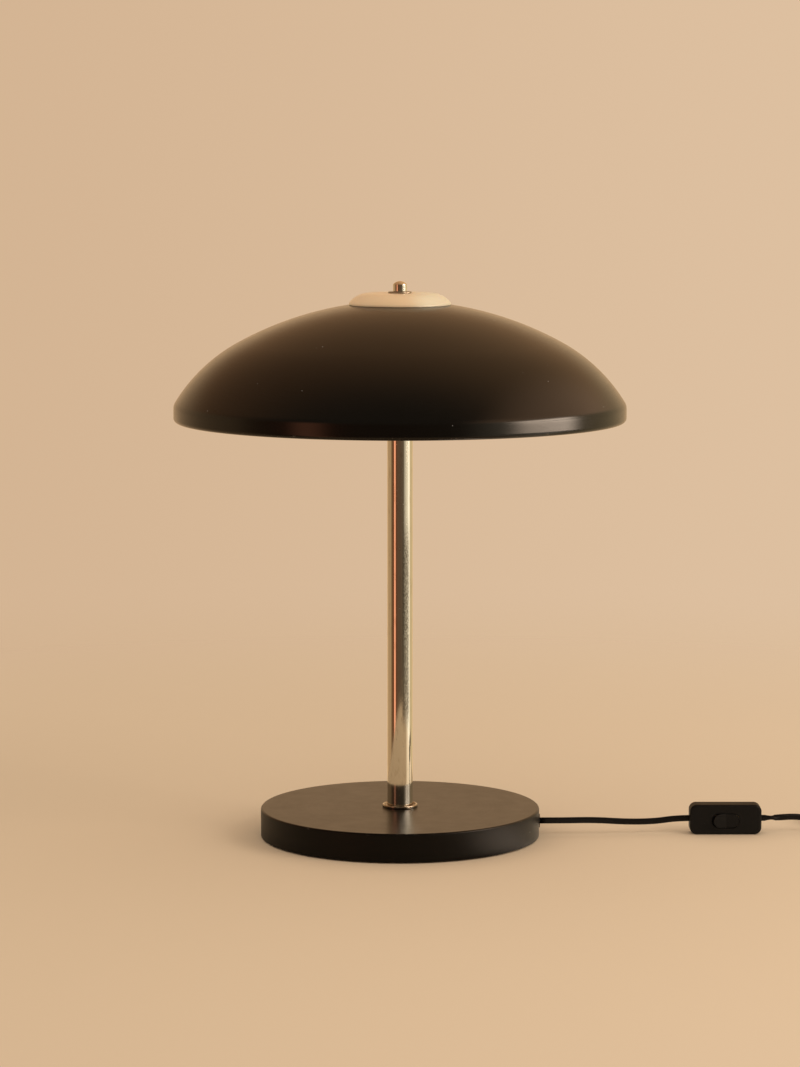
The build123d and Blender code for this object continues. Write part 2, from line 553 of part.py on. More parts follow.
def make_lamp_holder():
    """One lamp holder along +X from the cup, drawn at height 0."""
    outer = HOLDER_DIAMETER / 2
    insert_radius = outer - HOLDER_WALL
    boss_front = HOLDER_BACK + HOLDER_BOSS
    holder_cap = turned_along_x(Polyline(
        (HOLDER_BACK, TUBE_HOLE_RADIUS), (HOLDER_BACK, HOLDER_BACK_DIAMETER / 2),
        (HOLDER_BACK + HOLDER_CONE_LENGTH, outer), (HOLDER_FRONT, outer), (HOLDER_FRONT, insert_radius),
        (INSERT_BACK, insert_radius), (INSERT_BACK, HOLDER_SHOULDER),
        (boss_front, TUBE_HOLE_RADIUS + HOLDER_WALL), (boss_front, TUBE_HOLE_RADIUS), close=True))
    shell_radius = THREAD_SHELL_DIAMETER / 2
    shell_bore = shell_radius - THREAD_SHELL_WALL
    shell_front = HOLDER_FRONT + THREAD_SHELL_LENGTH
    wire_x = HOLDER_WIRE_SPACING / 2
    wire_path = FilletPolyline((wire_x, BLOCK_FRONT, 0), (wire_x, 0, 0), (INSERT_BACK, 0, 0),
                               radius=HOLDER_WIRE_BEND)
    wire_section = Plane(wire_path @ 0, z_dir=wire_path % 0) * Circle(HOLDER_WIRE_DIAMETER / 2)
    nipple_start = CLUSTER_BORE_RADIUS - HOLDER_NIPPLE_INSIDE
    return {
        "holder_nipple": ring_along_x(TUBE_THREAD_RADIUS, TUBE_BORE_RADIUS, nipple_start, boss_front),
        "holder_cap": holder_cap,
        "holder_insert": rod_along_x(insert_radius - SEAT_GAP, INSERT_BACK, HOLDER_FRONT),
        "holder_thread": ring_along_x(shell_radius, shell_bore, HOLDER_FRONT, shell_front),
        "holder_contact": rod_along_x(CONTACT_DIAMETER / 2, HOLDER_FRONT, HOLDER_FRONT + CONTACT_HEIGHT),
        "holder_sleeve": ring_along_x(outer, SLEEVE_BORE / 2, HOLDER_FRONT, HOLDER_FRONT + SLEEVE_LENGTH),
        "holder_wire": sweep(wire_section, wire_path),
    }


def make_bulb():
    """One bulb along +X in its lamp holder: a thin screw cap and a blown glass."""
    cap_radius = BULB_CAP_DIAMETER / 2
    bulb_cap = rod_along_x(cap_radius, BULB_CAP_BACK, BULB_CAP_FRONT)
    bulb_cap -= rod_along_x(cap_radius - BULB_CAP_WALL, BULB_CAP_BACK + BULB_CAP_WALL, BULB_CAP_FRONT)
    bulb_cap += rod_along_x(BULB_PIP_DIAMETER / 2, BULB_PIP_END, BULB_CAP_BACK)

    bulb_radius = BULB_DIAMETER / 2
    neck = BULB_NECK_DIAMETER / 2
    bulb_tip = BULB_CAP_FRONT + BULB_GLASS_LENGTH
    globe_x = bulb_tip - bulb_radius
    inner_radius = bulb_radius - BULB_WALL
    inner_neck = neck - BULB_WALL
    neck_end = globe_x - math.sqrt(bulb_radius**2 - neck**2)
    inner_end = globe_x - math.sqrt(inner_radius**2 - inner_neck**2)
    glass = turned_along_x(
        Polyline((inner_end, inner_neck), (BULB_CAP_FRONT, inner_neck), (BULB_CAP_FRONT, neck),
                 (neck_end, neck)),
        ThreePointArc((neck_end, neck), (globe_x, bulb_radius), (bulb_tip, 0)),
        Line((bulb_tip, 0), (bulb_tip - BULB_WALL, 0)),
        ThreePointArc((bulb_tip - BULB_WALL, 0), (globe_x, inner_radius), (inner_end, inner_neck)),
    )
    return {"bulb_cap": bulb_cap, "bulb_glass": glass}


def make_lamp_holders():
    """Holder and bulb on the right and their mirror image on the left, small twin pieces in one group."""
    drawn = {**make_lamp_holder(), **make_bulb()}
    pieces = {}
    for name, piece in drawn.items():
        right = Pos(0, 0, SOCKET_AXIS) * piece
        left = mirror(right, Plane.YZ)
        if name in ("holder_nipple", "holder_contact", "holder_wire"):
            pieces[name + "s"] = [left, right]
        else:
            pieces[name + "_left"] = left
            pieces[name + "_right"] = right
    return pieces


def shade_arcs():
    """The shade's arcs from crown to lip: centre (radius, height), radius, start and end angle from +Z."""
    crown_angle = math.radians(SHADE_CROWN_ANGLE)
    rim_radius = SHADE_DIAMETER / 2
    crown_z = CROWN_TOP - SHADE_CROWN_RADIUS
    step = SHADE_CROWN_RADIUS - SHADE_FLANK_RADIUS
    flank = (step * math.sin(crown_angle), crown_z + step * math.cos(crown_angle))
    step = SHADE_FLANK_RADIUS - SHADE_SHOULDER_RADIUS
    shoulder_r = rim_radius - SHADE_SHOULDER_RADIUS
    shoulder_angle = math.asin((shoulder_r - flank[0]) / step)
    shoulder_z = flank[1] + step * math.cos(shoulder_angle)
    hole_angle = math.asin(ROD_HOLE_RADIUS / SHADE_CROWN_RADIUS)
    right_angle = math.pi / 2
    return [
        (0, crown_z, SHADE_CROWN_RADIUS, hole_angle, crown_angle),
        (*flank, SHADE_FLANK_RADIUS, crown_angle, shoulder_angle),
        (shoulder_r, shoulder_z, SHADE_SHOULDER_RADIUS, shoulder_angle, right_angle),
        (rim_radius - SHADE_ROLL_RADIUS, shoulder_z - SHADE_BAND_HEIGHT, SHADE_ROLL_RADIUS, right_angle,
         3 * right_angle),
    ]


def make_shade():
    """Spun dome: crown, flank and shoulder arcs, a short upright band and an edge rolled inwards."""
    def at(arc, angle, inset):
        centre_r, centre_z, radius = arc[:3]
        reach = radius - inset
        return (centre_r + reach * math.sin(angle), centre_z + reach * math.cos(angle))

    arcs = shade_arcs()
    crown, _, shoulder, roll = arcs
    pieces = []
    for inset in (0, SHADE_SHEET):
        for arc in arcs:
            start, end = arc[3:]
            angles = (start, (start + end) / 2, end)
            pieces.append(ThreePointArc(*[at(arc, angle, inset) for angle in angles]))
        pieces.append(Line(at(shoulder, shoulder[4], inset), at(roll, roll[3], inset)))
    outer_lip = at(roll, roll[4], 0)
    inner_lip = at(roll, roll[4], SHADE_SHEET)
    lip_top = outer_lip[1] + SHADE_ROLL_LIP
    pieces.append(Polyline(outer_lip, (outer_lip[0], lip_top), (inner_lip[0], lip_top), inner_lip))
    pieces.append(Line(at(crown, crown[3], 0), at(crown, crown[3], SHADE_SHEET)))
    return {"shade": turned(*pieces)}


def make_shade_carrier():
    """Threaded rod from the cup's lid to the finial, with its nuts and the seat under the crown."""
    nut_bore = ROD_RADIUS + THREAD_GAP
    seat_foot = SEAT_TOP - SEAT_THICKNESS
    nut_feet = (CLUSTER_TOP - LID_SPIGOT - ROD_NUT_HEIGHT, LID_TOP, seat_foot - ROD_NUT_HEIGHT)
    return {
        "shade_rod": rod(ROD_RADIUS, ROD_FOOT, ROD_TOP),
        "shade_rod_nuts": [hex_nut(ROD_NUT_FLATS, nut_bore, foot, ROD_NUT_HEIGHT) for foot in nut_feet],
        "shade_seat": ring(SEAT_RADIUS, nut_bore, seat_foot, SEAT_TOP),
    }


def make_cap():
    """Shallow moulded cap whose hub stands on the crown, so that its edge just clears the shade."""
    edge = CAP_DIAMETER / 2
    foot = CAP_TOP - CAP_HEIGHT
    arc_z = CAP_TOP - CAP_SHOULDER_RADIUS
    end_angle = math.acos((foot + CAP_SKIRT - arc_z) / CAP_SHOULDER_RADIUS)
    arc_r = edge - CAP_SHOULDER_RADIUS * math.sin(end_angle)
    inner_radius = CAP_SHOULDER_RADIUS - CAP_WALL
    inner_end = math.acos((foot - arc_z) / inner_radius)

    def at(radius, angle):
        return (arc_r + radius * math.sin(angle), arc_z + radius * math.cos(angle))

    skirt_top = at(CAP_SHOULDER_RADIUS, end_angle)
    hub = CAP_HUB_DIAMETER / 2
    inner_top = CAP_TOP - CAP_WALL
    return {"shade_cap": turned(
        Line((ROD_HOLE_RADIUS, CAP_TOP), (arc_r, CAP_TOP)),
        ThreePointArc((arc_r, CAP_TOP), at(CAP_SHOULDER_RADIUS, end_angle / 2), skirt_top),
        Polyline(skirt_top, (edge, foot), at(inner_radius, inner_end)),
        ThreePointArc(at(inner_radius, inner_end), at(inner_radius, inner_end / 2), (arc_r, inner_top)),
        Polyline((arc_r, inner_top), (hub, inner_top), (hub, CROWN_TOP), (ROD_HOLE_RADIUS, CROWN_TOP),
                 (ROD_HOLE_RADIUS, CAP_TOP)),
    )}


def make_finial():
    """Domed nut on the end of the rod, with a thin washer that its spread spigot keeps on."""
    spigot = FINIAL_SPIGOT_DIAMETER / 2
    lip = spigot + FINIAL_LIP
    lip_top = WASHER_FOOT + FINIAL_LIP_HEIGHT
    recess_top = lip_top + SEAT_GAP
    washer = turned(Polyline(
        (lip + FINIAL_FIT, WASHER_FOOT), (FINIAL_WASHER_DIAMETER / 2, WASHER_FOOT),
        (FINIAL_WASHER_DIAMETER / 2, WASHER_TOP), (spigot + FINIAL_FIT, WASHER_TOP),
        (spigot + FINIAL_FIT, recess_top), (lip + FINIAL_FIT, recess_top), close=True))
    bore = ROD_RADIUS + THREAD_GAP
    side = KNOB_DIAMETER / 2
    dome_foot = KNOB_TOP - KNOB_DOME
    dome_radius = (side**2 + KNOB_DOME**2) / (2 * KNOB_DOME)
    half_r = side / 2
    half_z = KNOB_TOP - dome_radius + math.sqrt(dome_radius**2 - half_r**2)
    roof = KNOB_TOP - KNOB_ROOF
    knob = turned(
        Polyline((side, dome_foot), (side, KNOB_FOOT), (spigot, KNOB_FOOT), (spigot, lip_top),
                 (lip, lip_top), (lip, WASHER_FOOT), (bore, WASHER_FOOT), (bore, roof),
                 (0, roof), (0, KNOB_TOP)),
        ThreePointArc((0, KNOB_TOP), (half_r, half_z), (side, dome_foot)),
    )
    return {"finial_washer": washer, "finial_knob": knob}


def switch_block(length, height, depth, corner):
    """A rounded block in the switch's middle plane, reaching forward by its depth."""
    middle = (SWITCH_MIDDLE_X, SWITCH_MIDDLE_Y, SWITCH_MIDDLE_Z)
    plane = Plane(middle, x_dir=(1, 0, 0), z_dir=(0, -1, 0))
    return plane * extrude(RectangleRounded(length, height, corner), depth)


def switch_half():
    """The front half of the switch's case as an open tray, without its own features."""
    half_depth = SWITCH_DEPTH / 2
    tray = switch_block(SWITCH_LENGTH, SWITCH_HEIGHT, half_depth, SWITCH_CORNER_RADIUS)
    tray = fillet(tray.faces().sort_by(Axis.Y)[0].edges(), SWITCH_EDGE_RADIUS)
    hollow = switch_block(SWITCH_LENGTH - 2 * SWITCH_WALL, SWITCH_HEIGHT - 2 * SWITCH_WALL,
                          half_depth - SWITCH_WALL, SWITCH_CORNER_RADIUS - SWITCH_WALL)
    tray -= hollow
    left_end = (SWITCH_LEFT, SWITCH_MIDDLE_Y, SWITCH_MIDDLE_Z)
    return tray - extrude(cord_section(left_end, (1, 0, 0), gap=CORD_FIT), SWITCH_LENGTH)


def switch_screw_planes():
    """The two screws' places on the back of the switch, looking forward."""
    x = SWITCH_LENGTH / 2 - SWITCH_SCREW_INSET_X
    z = SWITCH_HEIGHT / 2 - SWITCH_SCREW_INSET_Z
    return [Plane((SWITCH_MIDDLE_X + side * x, SWITCH_BACK_Y, SWITCH_MIDDLE_Z + side * z),
                  x_dir=(1, 0, 0), z_dir=(0, -1, 0)) for side in (-1, 1)]


def make_switch_case():
    """Front and back shells of the switch with their bosses, and the screws that join them."""
    front = switch_half()
    back = mirror(switch_half(), Plane((0, SWITCH_MIDDLE_Y, 0), z_dir=(0, 1, 0)))
    half_depth = SWITCH_DEPTH / 2
    screw = (SWITCH_SCREW_DIAMETER, SWITCH_SCREW_HEAD, SWITCH_SCREW_LENGTH)
    boss = Circle(SWITCH_BOSS_DIAMETER / 2)
    screws = []
    for plane in switch_screw_planes():
        hole = plane * countersunk(*screw, gap=THREAD_GAP)
        inner_length = half_depth - SWITCH_WALL
        back += plane * Pos(0, 0, SWITCH_WALL) * extrude(boss, inner_length)
        front += plane * Pos(0, 0, half_depth) * extrude(boss, inner_length)
        back -= hole
        front -= hole
        screws.append(plane * countersunk(*screw))

    rocker_plane = Plane((SWITCH_MIDDLE_X, SWITCH_MIDDLE_Y, ROCKER_Z), x_dir=(1, 0, 0), z_dir=(0, -1, 0))
    opening = SlotOverall(ROCKER_LENGTH + 2 * ROCKER_END_GAP, ROCKER_HEIGHT + 2 * ROCKER_SIDE_GAP)
    front -= rocker_plane * extrude(opening, half_depth)
    for side in (-1, 1):
        pillar_z = ROCKER_Z + side * (ROCKER_HEIGHT / 2 + ROCKER_SIDE_GAP + PILLAR_THICKNESS / 2)
        pillar_y = SWITCH_FRONT_Y + (SWITCH_WALL + PILLAR_DEPTH) / 2
        front += Pos(SWITCH_MIDDLE_X, pillar_y, pillar_z) * Box(
            PILLAR_LENGTH, PILLAR_DEPTH - SWITCH_WALL, PILLAR_THICKNESS)
    pin_length = ROCKER_HEIGHT + 2 * ROCKER_SIDE_GAP + 2 * PILLAR_THICKNESS
    pin_place = Pos(SWITCH_MIDDLE_X, ROCKER_PIVOT_Y, ROCKER_Z)
    front -= pin_place * Cylinder(ROCKER_PIN_DIAMETER / 2 + ROCKER_PIN_FIT, pin_length)
    return {
        "switch_front_shell": front,
        "switch_back_shell": back,
        "switch_screws": screws,
        "rocker_pin": pin_place * Cylinder(ROCKER_PIN_DIAMETER / 2, pin_length),
    }


def make_rocker():
    """Rocker with two facets at the tilt angle and its contact bridge, drawn level, then tilted to rest."""
    half_length = ROCKER_LENGTH / 2
    rise = half_length * math.tan(math.radians(ROCKER_TILT))
    front = ROCKER_PIVOT_DEPTH
    back = ROCKER_PIVOT_DEPTH - ROCKER_BACK_DEPTH
    half_height = ROCKER_HEIGHT / 2
    profile = Polyline((-half_length, -front - rise), (0, -front), (half_length, -front - rise),
                       (half_length, -back), (-half_length, -back), close=True)
    rocker = extrude(make_face(profile), half_height, both=True)
    face_plane = Plane((0, -back, 0), x_dir=(1, 0, 0), z_dir=(0, -1, 0))
    rocker &= face_plane * extrude(SlotOverall(ROCKER_LENGTH, ROCKER_HEIGHT), ROCKER_BACK_DEPTH + 2 * rise)
    rocker -= Cylinder(ROCKER_PIN_DIAMETER / 2 + ROCKER_PIN_FIT, 2 * ROCKER_HEIGHT)
    bridge = Pos(0, -back + BRIDGE_THICKNESS / 2, 0) * Box(BRIDGE_LENGTH, BRIDGE_THICKNESS, BRIDGE_HEIGHT)
    rest = Pos(SWITCH_MIDDLE_X, ROCKER_PIVOT_Y, ROCKER_Z) * Rot(0, 0, ROCKER_TILT)
    return {"switch_rocker": rest * rocker, "switch_bridge": rest * bridge}


def make_switch_contacts():
    """Terminals on the back shell: the switched core is cut between them, the other runs through."""
    terminal_front = SWITCH_FRONT_Y + TERMINAL_TOP_DEPTH
    terminal_depth = SWITCH_BACK_Y - SWITCH_WALL - terminal_front
    core_z = CORE_SPACING / 2
    core_length = SWITCH_LENGTH / 2 - CORD_GRIP
    terminal_end = TERMINAL_OFFSET + TERMINAL_LENGTH / 2
    terminal_y = terminal_front + terminal_depth / 2
    terminal_z = SWITCH_MIDDLE_Z + TERMINAL_HEIGHT / 2
    terminals = []
    cores = []

    def core(start, end, z):
        place = Pos(SWITCH_MIDDLE_X, SWITCH_MIDDLE_Y, SWITCH_MIDDLE_Z + z)
        return place * rod_along_x(CORE_DIAMETER / 2, start, end)

    for side in (-1, 1):
        place = Pos(SWITCH_MIDDLE_X + side * TERMINAL_OFFSET, terminal_y, terminal_z)
        terminals.append(place * Box(TERMINAL_LENGTH, terminal_depth, TERMINAL_HEIGHT))
        low, high = sorted((side * terminal_end, side * core_length))
        cores.append(core(low, high, core_z))
    cores.append(core(-core_length, core_length, -core_z))
    return {"switch_terminals": terminals, "switch_wires": cores}


def biarc(start, start_direction, end, end_direction):
    """Two arcs that join two points and meet the directions given there."""
    across = end - start
    both = start_direction + end_direction
    a = 2 * (1 - start_direction.dot(end_direction))
    b = 2 * across.dot(both)
    c = -across.dot(across)
    reach = (-b + math.sqrt(b * b - 4 * a * c)) / (2 * a)
    middle = (start + end + (start_direction - end_direction) * reach) * 0.5
    first = TangentArc(start, middle, tangent=start_direction)
    return [first, TangentArc(middle, end, tangent=first % 1)]


def coil_knots():
    """Points a half turn apart along the coil with the heading at each, in below and out above."""
    knots = []
    for turn in range(COIL_TURNS):
        radius = COIL_RADIUS - turn * COIL_PITCH
        knots += [(-radius, COIL_LOWER_Z), (radius, COIL_LOWER_Z)]
    inmost = COIL_RADIUS - COIL_TURNS * COIL_PITCH
    knots += [(-inmost, COIL_LOWER_Z), (inmost, COIL_UPPER_Z)]
    for turn in reversed(range(COIL_TURNS)):
        radius = COIL_RADIUS - turn * COIL_PITCH
        knots += [(-radius, COIL_UPPER_Z), (radius, COIL_UPPER_Z)]
    knots.pop()
    places = [Vector(COIL_MIDDLE_X, COIL_MIDDLE_Y + offset, height) for offset, height in knots]
    headings = [Vector(-math.copysign(1, offset), 0, 0) for offset, height in knots]
    return list(zip(places, headings))


def coil_path():
    knots = coil_knots()
    pieces = []
    for (start, start_direction), (end, end_direction) in zip(knots, knots[1:]):
        pieces += biarc(start, start_direction, end, end_direction)
    last, heading = knots[-1]
    pieces.append(TangentArc(last, (PLUG_AXIS_X, COIL_MIDDLE_Y, COIL_UPPER_Z), tangent=heading))
    return pieces


def least_coil_gap(path):
    """The coil's smallest gap to itself, on points along it, with the section taken as an upright box."""
    step = CORD_THICKNESS
    count = int(path.length / step)
    points = [path @ (index / count) for index in range(count + 1)]
    apart = int(COIL_RADIUS / step)
    gaps = []
    for index, point in enumerate(points):
        for other in points[index + apart:]:
            side = math.hypot(point.X - other.X, point.Y - other.Y) - CORD_THICKNESS
            up = abs(point.Z - other.Z) - CORD_WIDTH
            gaps.append(math.hypot(side, up) if min(side, up) > 0 else max(side, up))
    return min(gaps)


def make_coil():
    """Spare cord wound in two layers, and the band that ties it at the back."""
    path = Wire([edge for piece in coil_path() for edge in piece.edges()])
    coil = sweep(cord_section(path @ 0, path % 0), path)
    ratio = coil.volume / (SlotOverall(CORD_WIDTH, CORD_THICKNESS).area * path.length)
    print("cord_coil length", round(path.length, 1), "least gap", round(least_coil_gap(path), 3),
          "volume against section times length", round(ratio, 4))

    inmost = COIL_RADIUS - COIL_TURNS * COIL_PITCH - CORD_THICKNESS / 2
    near = math.sqrt(inmost**2 - (TIE_WIDTH / 2)**2) - PART_GAP
    far = COIL_RADIUS + CORD_THICKNESS / 2 + PART_GAP
    height = COIL_UPPER_Z + CORD_WIDTH / 2 + PART_GAP - TIE_THICKNESS
    plane = Plane((COIL_MIDDLE_X, COIL_MIDDLE_Y + (near + far) / 2, TIE_THICKNESS + height / 2),
                  x_dir=(0, 1, 0), z_dir=(1, 0, 0))
    inside = RectangleRounded(far - near, height, TIE_CORNER_RADIUS)
    outside = RectangleRounded(far - near + 2 * TIE_THICKNESS, height + 2 * TIE_THICKNESS,
                               TIE_CORNER_RADIUS + TIE_THICKNESS)
    tie = plane * extrude(outside - inside, TIE_WIDTH / 2, both=True)
    return {"cord_coil": coil, "cord_tie": tie}


def make_plug():
    """Flat two-pin plug lying beside the coil, with a grooved strain relief sleeve."""
    half_front = PLUG_WIDTH / 2
    half_rear = PLUG_REAR_WIDTH / 2
    taper_end = PLUG_LENGTH - PLUG_FRONT_LENGTH
    plan = make_face(Polyline(
        (half_front, PLUG_LENGTH), (half_front, taper_end), (half_rear, 0),
        (-half_rear, 0), (-half_front, taper_end), (-half_front, PLUG_LENGTH), close=True))
    body = Pos(0, 0, -PLUG_HEIGHT / 2) * extrude(plan, PLUG_HEIGHT)
    body = fillet(body.edges(), PLUG_EDGE_RADIUS)
    root = SLEEVE_RELIEF_ROOT / 2
    tip = SLEEVE_RELIEF_TIP / 2
    end = SLEEVE_RELIEF_LENGTH
    sleeve = turned(Polyline((0, 0), (root, 0), (tip, end), (0, end), close=True))
    for index in range(SLEEVE_GROOVE_COUNT):
        middle = end * (index + 1) / (SLEEVE_GROOVE_COUNT + 1)
        radius = root + (tip - root) * middle / end
        sleeve -= ring(root, radius - SLEEVE_GROOVE_DEPTH, middle - SLEEVE_GROOVE_WIDTH / 2,
                       middle + SLEEVE_GROOVE_WIDTH / 2)
    body += Rot(90, 0, 0) * sleeve
    pin = rod(PLUG_PIN_DIAMETER / 2, 0, PLUG_PIN_LENGTH)
    pin = fillet(pin.faces().sort_by(Axis.Z)[-1].edges(), PLUG_PIN_TIP_RADIUS)
    pin = Pos(0, PLUG_LENGTH, 0) * Rot(-90, 0, 0) * pin
    place = Pos(PLUG_AXIS_X, PLUG_REAR_Y, PLUG_AXIS_Z)
    return {
        "plug_body": place * body,
        "plug_pins": [place * Pos(side * PLUG_PIN_SPACING / 2, 0, 0) * pin for side in (-1, 1)],
    }


def make_free_cords():
    return {
        "cord_to_switch": free_cord("cord_to_switch", CORD_TO_SWITCH),
        "cord_from_switch": free_cord("cord_from_switch", CORD_FROM_SWITCH),
        "cord_to_plug": free_cord("cord_to_plug", CORD_TO_PLUG),
    }


MAKERS = [
    make_base, make_cord_grip, make_stem, make_lamp_head, make_inner_lead, make_lamp_holders, make_shade,
    make_shade_carrier, make_cap, make_finial, make_switch_case, make_rocker, make_switch_contacts,
    make_free_cords, make_coil, make_plug,
]

os.makedirs("parts", exist_ok=True)
for maker in MAKERS:
    for node, shape in maker().items():
        solids = shape if isinstance(shape, list) else [shape]
        group = Compound([solid for piece in solids for solid in piece.solids()])
        export_step(group, f"parts/{node}.step")
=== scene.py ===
import json
import math

import bmesh
import bpy
from mathutils import Matrix, Vector


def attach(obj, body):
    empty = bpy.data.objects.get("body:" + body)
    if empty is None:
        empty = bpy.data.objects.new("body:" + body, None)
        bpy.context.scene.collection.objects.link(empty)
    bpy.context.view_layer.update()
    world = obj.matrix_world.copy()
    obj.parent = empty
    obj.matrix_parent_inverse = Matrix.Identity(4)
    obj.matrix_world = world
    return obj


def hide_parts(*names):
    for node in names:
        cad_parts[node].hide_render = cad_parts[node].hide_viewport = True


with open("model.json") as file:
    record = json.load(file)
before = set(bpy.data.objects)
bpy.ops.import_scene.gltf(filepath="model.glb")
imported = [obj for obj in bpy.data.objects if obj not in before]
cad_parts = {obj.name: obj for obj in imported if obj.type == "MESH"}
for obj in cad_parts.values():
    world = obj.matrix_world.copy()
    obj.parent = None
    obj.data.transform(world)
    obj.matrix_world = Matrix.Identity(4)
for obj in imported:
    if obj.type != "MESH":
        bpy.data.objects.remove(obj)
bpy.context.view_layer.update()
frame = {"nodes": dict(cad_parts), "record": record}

MM = 0.001
QUARTER = math.pi / 2
LAMP = "lamp"

# Camera, as found from the outlines in the photograph
CAMERA_PLACE = (0.0, -2.9808, 0.6092)
CAMERA_PITCH = 6.642
CAMERA_LENS = 118.36
CAMERA_SENSOR = 36.0

# Steps round turned pieces
LARGE_ROUND = 256
MIDDLE_ROUND = 192
STEM_ROUND = 128
SMALL_ROUND = 96
DRILL_ROUND = 64

# The sizes from here to the cord's routes, and the routes too, are in millimetres as in the part's source.
SAME_POINT = 1e-6        # closer points of an outline count as one
LINE_SUPPORT = 0.3       # from the ends of a straight run to its support points

BASE_RADIUS = 120.0
BASE_HEIGHT = 25.0
BASE_WALL = 1.2
BASE_EDGE_RADIUS = 1.6
BASE_RIM_LIFT = 0.8
BASE_FOOT_ROUNDING = 0.4
BASE_WEAR_INSET = 0.4    # middle of the worn ring, in from the top edge
TUBE_HOLE_RADIUS = 5.05
CORD_EXIT_HEIGHT = 12.6
GROMMET_HOLE_RADIUS = 5.05
DRILL_OVERRUN = 3.0
FELT_RADIUS = 115.5
FELT_THICKNESS = 1.5
FELT_RINGS = 12

STEM_RADIUS = 11.0
STEM_WALL = 1.0
STEM_FOOT = 26.2
STEM_TOP = 378.2
STEM_BEVEL = 0.25
FLANGE_RADIUS = 15.2
FLANGE_HEIGHT = 2.6
FLANGE_FLOOR = 1.2
FLANGE_BEAD = 2.0
FLANGE_HOLLOW = 0.35     # soft corner between the dished floor and the bead
FLANGE_CORNER = (0.1, 0.12)
FLANGE_DRAFT = 0.15
FLANGE_FOOT_INSET = 0.2
PATCH_MIDDLE = 5.0       # corroded patch on the stem: its middle to the right of the axis
PATCH_HALF_WIDTH = 3.6
PATCH_LEVELS = (90.0, 115.0, 245.0, 285.0)
GRIME_TOP = 28.2         # dirt on the plating round the stem's foot
GRIME_FADE = 1.0

CROWN_TOP = 460.8
SHADE_DIAMETER = 385.5
SHADE_SHEET = 1.0
SHADE_CROWN_SHARE = 0.7458
SHADE_CROWN_ANGLE = 28.9
SHADE_FLANK_SHARE = 0.3697
SHADE_SHOULDER_RADIUS = 10.0
SHADE_BAND_HEIGHT = 7.6
SHADE_ROLL_RADIUS = 3.8
SHADE_ROLL_LIP = 2.0
SHADE_WEAR_HEIGHT = 360.0    # middle of the worn ring on the rolled edge
SHADE_HEAT = (400.0, 455.0)  # heights between which the white inside is yellowed by the bulbs
WEAR_REACH = (0.6, 1.8)      # from a worn ring's middle: to here most, from here none
DULL_BELOW_EDGE = 0.6
ROD_HOLE_RADIUS = 4.5

CAP_RADIUS = 43.3
CAP_TOP = 467.5
CAP_HEIGHT = 9.4
CAP_SKIRT = 1.0
CAP_SHOULDER_RADIUS = 19.6
CAP_WALL = 2.2
CAP_HUB_RADIUS = 11.0
CAP_EDGE_DROP = 0.52     # the skirt's outer edge follows the shade's slope
CAP_EDGE_ROUNDING = 0.15
CAP_PAINTED_LIGHT = (2.0, 26.0)   # to the right of the axis, where the yellowed plastic turns pale by painted light
CAP_GRIME_AND_SHADE = (-0.2, 1.0)  # above the cap's foot, where the grime and painted shade end
CAP_GRIME_AND_SHADE_RAGGED = 1.2

WASHER_FOOT = 467.55
WASHER_TOP = 468.75
WASHER_RADIUS = 10.0
WASHER_EDGE = 0.15
WASHER_BORE = 4.88
WASHER_RECESS_RADIUS = 5.33
WASHER_RECESS_TOP = 468.0
KNOB_RADIUS = 6.0
KNOB_FOOT = 468.8
KNOB_TOP = 477.75
KNOB_DOME = 2.9
KNOB_ROUNDING = 0.3
KNOB_BORE = 4.05
KNOB_BORE_TOP = 475.25
KNOB_SPIGOT_RADIUS = 4.8
KNOB_LIP_RADIUS = 5.25
KNOB_LIP_TOP = 467.95

SOCKET_HEIGHT = 396.2
BULB_START = 74.85
BULB_NECK_RADIUS = 12.5
BULB_RADIUS = 22.5
BULB_MIDDLE = 102.35
BULB_WALL = 0.8
BULB_BLEND = 7.0         # radius of the hollow between neck and globe

ROCKER_PIVOT = (281.5, 3.7, 12.0)
ROCKER_LENGTH = 22.8
ROCKER_HEIGHT = 12.2
ROCKER_TILT = 8.0
ROCKER_FRONT = 3.2       # in front of the pivot
ROCKER_BACK = 1.8        # behind it
ROCKER_ROUNDING = 0.6

TIE_NEAR = 73.0
TIE_FAR = 92.9
TIE_HEIGHT = 12.1
TIE_CORNER = 1.5
TIE_THICKNESS = 0.7
TIE_WIDTH = 9.0
TIE_EDGE_SHARES = (0.33, 0.67)
TIE_LAP_GAP = 0.05       # the free end: above the band, in from its ends and sides, and its tips
TIE_LAP_NEAR = 2.0
TIE_LAP_FAR = 1.0
TIE_LAP_INSET = 0.4
TIE_LAP_TIP = 0.6

PIN_SLEEVE_END = 167.0
PIN_SLEEVE_STEP = 0.1

CORD_WIDTH = 5.4
CORD_THICKNESS = 3.2
CORD_RESOLUTION = 6
CORD_TWIST_START = 8.0   # along the cord from inside the switch
CORD_TWIST_END = 25.0
COIL_MIDDLE = (397.0, 54.5)
COIL_RADIUS = 36.5
COIL_PITCH = 3.9
COIL_TURNS = 4
COIL_LOWER = 3.7
COIL_UPPER = 9.8
COIL_STEPS = 12          # points in each half turn

# Routes of the cord, point by point as in the part's own source
CORD_TO_SWITCH = [
    (120.6, 0, 12.6), (141, 0, 12.6), (168, 1.8, 12.8), (197, 4.6, 10.5), (221, 7.6, 10.4),
    (240, 9, 13), (257.5, 9, 13),
]
CORD_FROM_SWITCH = [
    (305.5, 9, 13), (322, 9, 13), (344, 12.5, 14), (363, 16.5, 9.6), (381, 18, 3.7),
]
CORD_TO_PLUG = [(433.5, 68.5, 9.8), (433.5, 84.5, 6.85), (433.5, 97.5, 6.85)]

